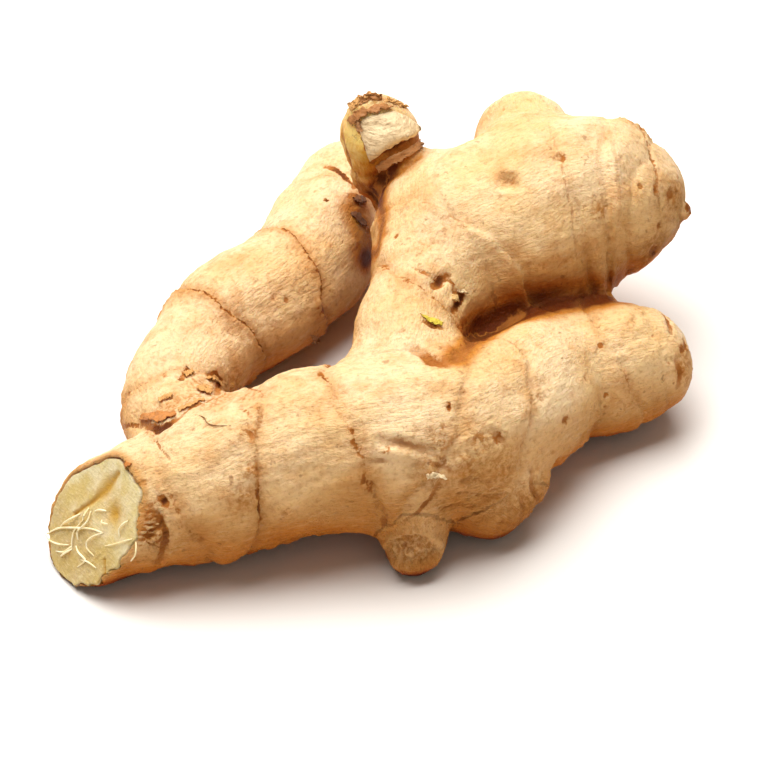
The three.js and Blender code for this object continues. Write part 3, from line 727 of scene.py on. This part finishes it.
# The cut flesh: a disc in the recess, with the torn groove, the hole and its coarse fibres.
GROOVE = [(119, 473), (112, 481), (106, 490), (100, 495), (91, 503), (83, 508), (75, 514)]
HOLE, HOLE_SIZE = (115, 513), 2.0
SLIT = [(105, 560), (105, 576)]
share = np.linspace(0, 1, RADII)[None, :, None] ** 0.9
inner = (flesh_edge + 0.3)[:, None, None]
flesh = (CUT_POINT + ways[:, None, :] * share * inner).reshape(-1, 3)
outwards = np.broadcast_to(share, (ANGLES, RADII, 1)).reshape(-1)
groove, along_groove = line_distance(flesh, np.array([on_cut(*p) for p in GROOVE]))
groove_half = 0.4 + 1.0 * peak(along_groove - 0.33, 0.22)
slit = line_distance(flesh, np.array([on_cut(*p) for p in SLIT]))[0]
hole = np.linalg.norm(flesh - on_cut(*HOLE), axis=1) / HOLE_SIZE
ragged_flesh = 0.35 * noise(flesh, 1.1, 20)
low_half = smooth((flesh - CUT_POINT) @ CUT_UP, 2.0, -3.0)
strands_lie = np.stack([flesh @ CUT_ACROSS, (flesh @ CUT_UP) * 0.45, flesh @ CUT_FACING], 1)
flesh_height = 0.22 + 0.12 * noise(flesh, 4.5, 21) + 0.06 * noise(strands_lie, 1.0, 22)
flesh_height += (0.03 + 0.09 * low_half) * noise(flesh, 0.9, 23)
flesh_height -= 0.5 * peak((groove + ragged_flesh) / groove_half, 1) + 0.6 * peak(hole + ragged_flesh, 1)
flesh_height -= 0.5 * peak(slit, 0.35) + 0.7 * smooth(outwards, 0.965, 1.0)
ochre = np.maximum(peak(groove / groove_half, 1.3), peak(hole, 1.25))
ochre = np.maximum(ochre, peak(slit, 0.4))  # the colour of the groove, the hole and the slit
flesh += flesh_height[:, None] * CUT_FACING
rows = []
for i in range(ANGLES):
    j = (i + 1) % ANGLES
    for k in range(RADII - 1):
        a, b = i * RADII + k, j * RADII + k
        rows.append((a, a + 1, b + 1, b) if k else (a, a + 1, b + 1))
back = len(flesh)
rows += [(back, (i + 1) % ANGLES * RADII + RADII - 1, i * RADII + RADII - 1) for i in range(ANGLES)]
flesh_mesh = make_mesh("flesh", np.vstack([flesh, CUT_POINT - FLESH_BACK * CUT_FACING]), rows)
set_attribute(flesh_mesh, "ochre", np.append(np.clip(ochre, 0, 1), 0))
set_attribute(flesh_mesh, "low_half", np.append(low_half, 0))
right_side = smooth((flesh - CUT_POINT) @ CUT_ACROSS, 4, 9)
set_attribute(flesh_mesh, "rim", np.append(smooth(outwards, 0.968, 0.988) * (1 - 0.8 * right_side), 1))
place_piece(flesh_mesh, "cut_flesh")


# Thin fibres and hairs
class Tubes:
    """Gathers thin tapering tubes into one mesh."""

    SIDES = 6

    def __init__(self):
        self.verts, self.faces = [], []

    def add(self, line, radius):
        line = catmull_rom(line, 6)
        first = len(self.verts)
        tangents = np.gradient(line, axis=0)
        for k, (place, tangent) in enumerate(zip(line, tangents)):
            tangent = tangent / np.linalg.norm(tangent)
            side = np.cross(tangent, (0.3, 0.2, 0.93))
            side /= np.linalg.norm(side)
            over = np.cross(side, tangent)
            size = radius * (0.45 + 0.55 * math.sin(math.pi * (0.1 + 0.8 * k / (len(line) - 1))))
            for n in range(self.SIDES):
                turn = 2 * math.pi * n / self.SIDES
                self.verts.append(place + size * (math.cos(turn) * side + math.sin(turn) * over))
        for k in range(len(line) - 1):
            for n in range(self.SIDES):
                a, b = first + k * self.SIDES + n, first + k * self.SIDES + (n + 1) % self.SIDES
                self.faces.append((a, b, b + self.SIDES, a + self.SIDES))
        last = len(self.verts) - self.SIDES
        self.faces.append(tuple(first + n for n in reversed(range(self.SIDES))))
        self.faces.append(tuple(last + n for n in range(self.SIDES)))


# The long fibres that lie over the cut, as the picture shows them.
FIBRES = [
    [(48, 534), (56, 530), (62, 528), (81, 528), (93, 529), (104, 533)],
    [(46, 534), (52, 540), (61, 544), (70, 545)],
    [(62, 526), (71, 521), (81, 514)],
    [(73, 550), (74, 540), (76, 532), (79, 527), (85, 519)],
    [(79, 540), (80, 532), (85, 527), (90, 521), (92, 511)],
    [(104, 533), (95, 537), (91, 542), (90, 548), (95, 556)],
    [(77, 546), (80, 552), (85, 557), (87, 560), (79, 567)],
    [(57, 551), (66, 552), (71, 549), (73, 546)],
    [(62, 556), (69, 553), (73, 549)],
    [(106, 546), (117, 544), (127, 541), (133, 539)],
    [(121, 537), (122, 530), (126, 524), (129, 521)],
    [(103, 520), (106, 523), (109, 524)],
    [(96, 511), (102, 510), (107, 511)],
    [(137, 542), (139, 549), (138, 555), (132, 561)],
    [(84, 521), (88, 516), (90, 508)],
    [(82, 560), (90, 562), (97, 568)],
]
fibres = Tubes()
for k, pixels in enumerate(FIBRES):
    arch = np.sin(np.pi * np.arange(len(pixels)) / (len(pixels) - 1))
    rises = 0.3 + (0.35 + 0.25 * (k % 3)) * arch
    line = [on_cut(*pixel) + rise * CUT_FACING for pixel, rise in zip(pixels, rises)]
    fibres.add(line, 0.19 if k % 2 else 0.24)
place_piece(make_mesh("fibres", fibres.verts, fibres.faces), "cut_fibres")

# Dark hairs on the skin.
HAIRS = [
    [(195, 415), (204, 418), (208, 424), (214, 426), (231, 426)],
    [(186, 366), (190, 371), (196, 374)],
]
hairs = Tubes()
for pixels in HAIRS:
    rises = 0.05 + 0.3 * np.sin(np.pi * np.arange(len(pixels)) / (len(pixels) - 1))
    on_skin = [skin_surface.at_pixel(*pixel) for pixel in pixels]
    line = [at + rise * skin_surface.normal_near(at) for at, rise in zip(on_skin, rises)]
    hairs.add(line, 0.13)
place_piece(make_mesh("hairs", hairs.verts, hairs.faces), "root_hairs")


# Dry scales and flaps of skin
class Sheets:
    """Gathers thin curled sheets that grow out of the skin into one mesh."""

    ROWS, COLUMNS = 12, 26
    JUMP = 4.0  # a longer step than this between neighbours leaps over an outline

    def __init__(self, surface):
        self.surface = surface
        self.verts, self.faces, self.tints = [], [], []

    def add(self, root, tip, lift, thickness, ragged, tint):
        """A sheet from the root line to the tip line, both drawn on the picture."""
        first = len(self.verts)
        root, tip = self.spread(root), self.spread(tip)
        cells = self.ROWS * self.COLUMNS
        top = np.zeros((cells, 3))
        normals = np.zeros((cells, 3))
        shares = np.repeat(np.linspace(0, 1, self.ROWS), self.COLUMNS)
        column = np.tile(np.arange(self.COLUMNS), self.ROWS)
        wobble = noise(np.stack([column * 0.35, np.full(cells, first), np.zeros(cells)], 1), 1.0, 30)
        length = 1 - ragged * np.abs(wobble)
        pixels = np.zeros((cells, 2))
        sway = np.stack([column * 0.3, shares * 4, np.full(cells, first)], 1)
        sway = np.stack([noise(sway, 1.0, 32), noise(sway, 1.0, 33)], 1) * 1.6
        for k in range(cells):
            share = shares[k] * length[k]
            pixels[k] = root[column[k]] * (1 - share) + tip[column[k]] * share + sway[k]
            top[k] = self.surface.at_pixel(*pixels[k])
            normals[k] = self.surface.normal_near(top[k])
            # Past an outline the sheet goes straight on, and doesn't drop to what lies behind.
            near = k - 1 if column[k] else k - self.COLUMNS
            if near >= 0 and np.linalg.norm(top[k] - top[near]) > self.JUMP:
                across, down = (pixels[k] - pixels[near]) / PIXELS_PER_MM
                top[k] = top[near] + np.array([across, 0, 0]) - down * UPWARD
                normals[k] = normals[near]
        buckle = 0.22 * noise(top, 1.6, 31) * np.minimum(1, 2 * shares)
        rise = -0.25 + 0.5 * smooth(shares, 0, 0.2) + lift * shares**1.6 + buckle
        top += rise[:, None] * normals
        under = top - (thickness * (1 - 0.5 * shares))[:, None] * normals
        self.verts += list(top) + list(under)
        self.tints += [tint] * (2 * cells)
        for r in range(self.ROWS - 1):
            for c in range(self.COLUMNS - 1):
                a = first + r * self.COLUMNS + c
                quad = (a, a + 1, a + 1 + self.COLUMNS, a + self.COLUMNS)
                self.faces.append(quad)
                self.faces.append(tuple(reversed([q + cells for q in quad])))
        rim = list(range(self.COLUMNS))
        rim += [r * self.COLUMNS + self.COLUMNS - 1 for r in range(1, self.ROWS)]
        rim += [(self.ROWS - 1) * self.COLUMNS + c for c in reversed(range(self.COLUMNS - 1))]
        rim += [r * self.COLUMNS for r in reversed(range(1, self.ROWS - 1))]
        for a, b in zip(rim, rim[1:] + rim[:1]):
            self.faces.append((first + b, first + a, first + a + cells, first + b + cells))

    def spread(self, pixels):
        pixels = np.array(pixels, float)
        at = np.linspace(0, len(pixels) - 1, self.COLUMNS)
        return np.stack([np.interp(at, np.arange(len(pixels)), pixels[:, i]) for i in range(2)], 1)


def rgb(red, green, blue):
    """A colour given as 0 to 255 screen values."""
    return tuple((c / 255) ** 2.2 for c in (red, green, blue)) + (1.0,)


CREAM, STRAW, TAN = rgb(244, 216, 168), rgb(226, 184, 116), rgb(212, 154, 86)
BARK, DARK_BARK = rgb(170, 110, 54), rgb(112, 66, 30)
RUST, LEAF_GREEN = rgb(186, 112, 40), rgb(214, 190, 60)
PINK_BROWN, RED_BROWN = rgb(206, 150, 98), rgb(194, 122, 54)
# The sheets, as (root line, tip line, lift, thickness, raggedness, colour).
SCALES = [
    # The stub's pale cap, the rough strip under it, and the brown scraps on its top.
    (
        [(356, 121), (361, 115), (371, 111), (384, 109), (394, 108), (404, 112), (412, 118), (420, 126)],
        [(371, 160), (378, 155), (386, 149), (393, 146), (400, 142), (407, 139), (414, 135), (419, 130)],
        0.5, 0.5, 0.08, CREAM,
    ),
    (
        [(374, 165), (389, 156), (405, 149), (422, 138)],
        [(380, 172), (396, 164), (410, 156), (423, 147)],
        0.2, 0.4, 0.6, PINK_BROWN,
    ),
    ([(346, 119), (353, 112), (362, 106)], [(356, 126), (362, 119), (371, 113)], 0.5, 0.35, 0.4, BARK),
    ([(352, 112), (362, 104), (374, 98)], [(350, 105), (360, 99), (371, 95)], 0.8, 0.3, 0.6, TAN),
    ([(360, 106), (370, 101), (382, 101)], [(360, 99), (369, 96), (380, 97)], 0.9, 0.3, 0.6, BARK),
    ([(364, 110), (374, 104), (384, 103)], [(374, 114), (382, 111), (392, 109)], 0.5, 0.35, 0.4, BARK),
    ([(384, 102), (394, 104), (402, 108)], [(386, 98), (398, 102), (407, 108)], 0.3, 0.3, 0.5, TAN),
    ([(354, 122), (357, 132)], [(361, 121), (364, 131)], 0.4, 0.3, 0.4, PINK_BROWN),
    # The dark scraps in the crevice beside the stub.
    ([(353, 197), (359, 194), (365, 196)], [(354, 203), (360, 205), (365, 203)], 0.5, 0.5, 0.5, DARK_BARK),
    ([(349, 212), (354, 209), (359, 212)], [(356, 222), (361, 228), (366, 227)], 0.6, 0.4, 0.4, DARK_BARK),
    # The neck's tears and its green fleck.
    ([(452, 294), (457, 293)], [(452, 301), (456, 303)], 0.6, 0.3, 0.3, STRAW),
    ([(457, 290), (463, 289)], [(458, 294), (466, 294)], 0.8, 0.3, 0.3, CREAM),
    ([(421, 314), (432, 317), (443, 321)], [(422, 317), (432, 325), (441, 326)], 0.2, 0.3, 0.1, LEAF_GREEN),
    # The flap and the crusts where the side finger leaves the body.
    ([(142, 414), (158, 409), (175, 411)], [(141, 420), (158, 424), (177, 417)], 0.4, 0.4, 0.35, RED_BROWN),
    ([(178, 408), (190, 402), (204, 398)], [(180, 414), (192, 408), (206, 402)], 0.3, 0.25, 0.6, TAN),
    ([(183, 372), (191, 368)], [(185, 379), (194, 376)], 0.4, 0.25, 0.6, TAN),
    ([(206, 377), (214, 374), (220, 380)], [(208, 383), (214, 383), (219, 386)], 0.5, 0.25, 0.6, TAN),
    ([(196, 386), (204, 383), (212, 388)], [(197, 393), (205, 395), (212, 397)], 0.5, 0.3, 0.5, TAN),
    ([(158, 398), (170, 392)], [(161, 404), (173, 398)], 0.3, 0.25, 0.6, TAN),
    ([(118, 461), (126, 460), (132, 463)], [(119, 470), (125, 471), (130, 467)], 0.5, 0.35, 0.3, RUST),
    ([(310, 334), (317, 336)], [(312, 341), (319, 342)], 0.6, 0.3, 0.3, BARK),
    ([(426, 474), (434, 472), (444, 474)], [(426, 479), (436, 477), (446, 478)], 0.5, 0.3, 0.6, CREAM),
]
scales = Sheets(skin_surface)
for row in SCALES:
    scales.add(*row)
scale_mesh = make_mesh("scales", scales.verts, scales.faces)
set_attribute(scale_mesh, "tint", np.array(scales.tints)[:, :3])
place_piece(scale_mesh, "dry_scales")


# Materials
class Nodes:
    """A short way to write a node material."""

    def __init__(self, name):
        self.material = bpy.data.materials.new(name)
        self.material.use_nodes = True
        self.tree = self.material.node_tree
        self.shader = self.tree.nodes["Principled BSDF"]

    def add(self, kind, inputs=None, **settings):
        node = self.tree.nodes.new(kind)
        for key, value in settings.items():
            setattr(node, key, value)
        for key, value in (inputs or {}).items():
            self.set(node.inputs[key], value)
        return node

    def set(self, socket, value):
        if isinstance(value, bpy.types.NodeSocket):
            self.tree.links.new(value, socket)
        else:
            socket.default_value = value

    def shade(self, **values):
        """Sets the shader's own inputs, named with underscores for spaces."""
        for key, value in values.items():
            self.set(self.shader.inputs[key.replace("_", " ")], value)

    def place(self):
        return self.add("ShaderNodeTexCoord").outputs["Object"]

    def value(self, name):
        return self.add("ShaderNodeAttribute", attribute_name=name).outputs["Fac"]

    def vector(self, name):
        return self.add("ShaderNodeAttribute", attribute_name=name).outputs["Vector"]

    def noise(self, vector, scale, detail=4.0, rough=0.55):
        inputs = {"Vector": vector, "Scale": scale, "Detail": detail, "Roughness": rough}
        return self.add("ShaderNodeTexNoise", inputs).outputs["Fac"]

    def stretch(self, vector, scale):
        return self.add("ShaderNodeMapping", {"Vector": vector, "Scale": scale}).outputs["Vector"]

    def math(self, operation, a, b=0.0, clamp=False):
        return self.add("ShaderNodeMath", {0: a, 1: b}, operation=operation, use_clamp=clamp).outputs[0]

    def times(self, a, b):
        return self.math("MULTIPLY", a, b)

    def spread(self, value, low, high, to_low=0.0, to_high=1.0):
        inputs = {"Value": value, "From Min": low, "From Max": high, "To Min": to_low, "To Max": to_high}
        return self.add("ShaderNodeMapRange", inputs, interpolation_type="SMOOTHSTEP").outputs["Result"]

    def mix(self, share, a, b, blend="MIX"):
        node = self.add("ShaderNodeMix", data_type="RGBA", blend_type=blend)
        self.set(node.inputs[0], share)
        self.set(node.inputs[6], a)
        self.set(node.inputs[7], b)
        return node.outputs[2]

    def bump(self, height, strength, distance, normal=None):
        inputs = {"Height": height, "Strength": strength, "Distance": distance}
        if normal is not None:
            inputs["Normal"] = normal
        return self.add("ShaderNodeBump", inputs).outputs["Normal"]


def skin_material():
    n = Nodes("ginger_skin")
    place, grain_at = n.place(), n.vector("grain")
    broad = n.noise(place, 45.0, 3.0)
    patches = n.noise(place, 140.0, 5.0, 0.6)
    fine = n.noise(place, 900.0, 6.0, 0.65)
    streaks = n.noise(n.stretch(grain_at, (0.3, 0.9, 0.9)), 1.0, 5.0, 0.6)
    threads = n.noise(n.stretch(grain_at, (0.55, 1.7, 1.7)), 1.0, 4.0, 0.6)
    underside_shade_here = n.value("underside_shade")

    # Painted light and shade by facing: cream on top, tan at the sides, orange brown underneath; dark brown
    # painted shade in the creases.
    colour = n.mix(n.spread(broad, 0.35, 0.65), rgb(238, 197, 138), rgb(245, 212, 164))
    colour = n.mix(n.spread(underside_shade_here, 0.0, 0.3, 0.0, 0.65), colour, rgb(227, 170, 102))
    colour = n.mix(n.spread(underside_shade_here, 0.15, 0.75), colour, rgb(216, 151, 80))
    colour = n.mix(n.spread(patches, 0.45, 0.7, 0.0, 0.5), colour, rgb(208, 144, 80))
    colour = n.mix(n.spread(streaks, 0.52, 0.74, 0.0, 0.28), colour, rgb(188, 116, 52))
    colour = n.mix(n.spread(streaks, 0.46, 0.28, 0.0, 0.25), colour, rgb(246, 214, 168))
    colour = n.mix(n.spread(fine, 0.48, 0.72, 0.0, 0.4), colour, rgb(170, 102, 44))
    crust = n.value("crust")
    crumbs = n.times(crust, n.spread(fine, 0.4, 0.6, 0.3, 0.9))
    colour = n.mix(crumbs, colour, rgb(184, 118, 54))
    yellow = n.mix(n.spread(patches, 0.4, 0.65), rgb(250, 212, 124), rgb(222, 158, 50))
    colour = n.mix(n.value("yellow"), colour, yellow)
    colour = n.mix(n.spread(n.noise(place, 420.0, 3.0), 0.66, 0.74, 0.0, 0.5), colour, rgb(140, 80, 34))
    occlusion_shade = n.value("occlusion_shade")
    # Painted shade: the undersides and the creases are darkened in the skin's colour.
    colour = n.mix(n.spread(underside_shade_here, 0.55, 1.05), colour, (0.88, 0.6, 0.2, 1), "MULTIPLY")
    colour = n.mix(n.spread(occlusion_shade, 0.1, 0.36), colour, (0.7, 0.4, 0.12, 1), "MULTIPLY")
    colour = n.mix(n.spread(occlusion_shade, 0.3, 0.6), colour, (0.26, 0.13, 0.04, 1), "MULTIPLY")

    # Thin broken brown lines along the scars and marks, in a tan band; some marks are painted shadow in a
    # hole, in crevices and under a flap.
    wobble = n.spread(n.noise(place, 700.0, 3.0), 0.3, 0.7, -0.5, 0.5)
    past, tone = n.value("from_ring"), n.value("ring_dark")
    band = n.times(n.spread(past, 3.2, 0.2, 0.0, 0.55), tone)
    colour = n.mix(band, colour, rgb(196, 130, 66))
    line = n.math("ADD", past, n.times(wobble, 0.9))
    line = n.times(n.spread(line, 0.85, 0.1), n.spread(tone, 0.1, 0.9, 0.05, 0.85))
    gaps = n.spread(n.noise(place, 380.0, 3.0), 0.36, 0.56)
    line = n.times(line, n.math("MAXIMUM", gaps, n.spread(tone, 0.6, 0.95)))
    marked_and_shaded = n.spread(n.math("ADD", n.value("mark"), n.times(wobble, 0.5)), 1.15, 0.55)
    marked_and_shaded = n.times(marked_and_shaded, n.value("mark_and_shade_dark"))
    pores = n.times(n.value("pore_dark"), n.spread(fine, 0.4, 0.6))
    darkness = n.math("MAXIMUM", n.math("MAXIMUM", line, marked_and_shaded), pores)
    colour = n.mix(n.spread(darkness, 0.0, 0.55), colour, rgb(176, 106, 44))
    colour = n.mix(n.spread(darkness, 0.45, 1.0, 0.0, 0.92), colour, rgb(92, 42, 12))
    colour = n.mix(n.times(n.value("rim"), 0.75), colour, rgb(206, 144, 78))

    plain = n.spread(patches, 0.35, 0.7, 0.42, 0.6)
    roughness = n.math("ADD", plain, n.times(crust, 0.2), clamp=True)
    normal = n.bump(threads, n.spread(underside_shade_here, 0.1, 0.7, 0.5, 1.0), 0.0013)
    normal = n.bump(darkness, 0.5, 0.0006, normal)
    normal.node.invert = True
    normal = n.bump(fine, 0.75, 0.0007, normal)
    normal = n.bump(n.noise(place, 2600.0, 3.0), 0.2, 0.0002, normal)
    n.shade(
        Base_Color=colour, Roughness=roughness, Normal=normal, Subsurface_Weight=0.2,
        Subsurface_Radius=(1.0, 0.45, 0.16), Subsurface_Scale=0.004, Specular_IOR_Level=0.16,
    )
    return n.material


def flesh_material():
    n = Nodes("ginger_flesh")
    place = n.place()
    broad, fine = n.noise(place, 220.0, 4.0), n.noise(place, 1300.0, 5.0, 0.65)
    threads = n.noise(n.stretch(place, (1.0, 1.0, 3.0)), 700.0, 4.0, 0.6)
    colour = n.mix(n.spread(broad, 0.35, 0.65), rgb(229, 208, 162), rgb(217, 191, 126))
    colour = n.mix(n.spread(n.noise(place, 150.0, 3.0), 0.48, 0.62, 0.0, 0.5), colour, rgb(200, 166, 80))
    colour = n.mix(n.times(n.value("low_half"), 0.6), colour, rgb(188, 154, 80))
    colour = n.mix(n.spread(threads, 0.5, 0.7, 0.0, 0.4), colour, rgb(242, 222, 170))
    colour = n.mix(n.spread(fine, 0.5, 0.75, 0.0, 0.4), colour, rgb(178, 136, 62))
    colour = n.mix(n.value("ochre"), colour, rgb(196, 144, 40))
    colour = n.mix(n.value("rim"), colour, rgb(126, 70, 20))
    normal = n.bump(fine, 0.6, 0.0004, n.bump(threads, 0.6, 0.0006))
    n.shade(
        Base_Color=colour, Roughness=n.spread(broad, 0.3, 0.7, 0.38, 0.55), Normal=normal,
        Subsurface_Weight=0.35, Subsurface_Radius=(1.0, 0.7, 0.3), Subsurface_Scale=0.003,
    )
    return n.material


def scale_material():
    n = Nodes("dry_scale")
    place = n.place()
    fine = n.noise(place, 1100.0, 5.0, 0.65)
    streaks = n.noise(n.stretch(place, (1.0, 1.0, 3.5)), 380.0, 4.0, 0.6)
    tint = n.add("ShaderNodeAttribute", attribute_name="tint").outputs["Color"]
    colour = n.mix(n.spread(streaks, 0.48, 0.7, 0.0, 0.45), tint, rgb(150, 92, 40))
    colour = n.mix(n.spread(fine, 0.5, 0.72, 0.0, 0.4), colour, rgb(120, 70, 30))
    normal = n.bump(fine, 0.6, 0.0004, n.bump(streaks, 0.7, 0.0009))
    n.shade(Base_Color=colour, Roughness=n.spread(fine, 0.3, 0.7, 0.55, 0.8), Normal=normal)
    return n.material


def fibre_material(name, light, deep):
    n = Nodes(name)
    tone = n.noise(n.place(), 500.0, 3.0)
    n.shade(
        Base_Color=n.mix(n.spread(tone, 0.35, 0.65), light, deep),
        Roughness=n.spread(tone, 0.3, 0.7, 0.45, 0.6), Normal=n.bump(tone, 0.3, 0.0001),
    )
    return n.material


skin_mesh.materials.append(skin_material())
flesh_mesh.materials.append(flesh_material())
scale_mesh.materials.append(scale_material())
pale_fibre = fibre_material("pale_fibre", rgb(255, 244, 206), rgb(246, 222, 162))
bpy.data.objects["cut_fibres"].data.materials.append(pale_fibre)
dark_hair = fibre_material("dark_hair", rgb(150, 108, 56), rgb(112, 76, 34))
bpy.data.objects["root_hairs"].data.materials.append(dark_hair)


# The floor, the light and the camera
def floor_material():
    n = Nodes("floor")
    tone = n.noise(n.place(), 3.0, 2.0)
    colour = n.mix(n.spread(tone, 0.3, 0.7), (0.92, 0.87, 0.81, 1), (0.94, 0.89, 0.83, 1))
    n.shade(Base_Color=colour, Roughness=0.8, Specular_IOR_Level=0.2)
    return n.material


FLOOR_HALF = 3.0
floor_mesh = bpy.data.meshes.new("floor")
corners = [(x * FLOOR_HALF, y * FLOOR_HALF, 0) for x, y in ((-1, -1), (1, -1), (1, 1), (-1, 1))]
floor_mesh.from_pydata(corners, [], [(0, 1, 2, 3)])
floor_mesh.materials.append(floor_material())
floor = bpy.data.objects.new("floor", floor_mesh)
bpy.context.scene.collection.objects.link(floor)


def area_light(name, place, aim, size, watts, colour):
    data = bpy.data.lights.new(name, "AREA")
    data.size = size
    data.energy = watts
    data.color = colour
    light = bpy.data.objects.new(name, data)
    light.location = place
    light.rotation_euler = (Vector(aim) - Vector(place)).to_track_quat("-Z", "Y").to_euler()
    bpy.context.scene.collection.objects.link(light)


area_light("key", (-0.14, 0.24, 0.85), (0, 0, 0.02), 0.95, 18.0, (0.98, 0.99, 1.0))
area_light("front_fill", (0.2, -0.9, 0.8), (0, 0, 0.02), 0.9, 0.6, (1.0, 0.9, 0.78))

world = bpy.data.worlds.new("studio")
world.use_nodes = True
world.node_tree.nodes["Background"].inputs["Color"].default_value = (1.0, 0.88, 0.74, 1)
world.node_tree.nodes["Background"].inputs["Strength"].default_value = 0.2
bpy.context.scene.world = world
bpy.context.scene.view_settings.view_transform = "Standard"

camera_data = bpy.data.cameras.new("camera")
camera_data.sensor_width = 36.0
camera_data.lens = FOCAL_PIXELS / PICTURE * 36.0
camera_data.clip_start = 0.01
camera = bpy.data.objects.new("camera", camera_data)
camera.location = (EYE - MIDDLE) / 1000
aim = Vector((TARGET - MIDDLE) / 1000)
camera.rotation_euler = (aim - camera.location).to_track_quat("-Z", "Y").to_euler()
bpy.context.scene.collection.objects.link(camera)
bpy.context.scene.camera = camera
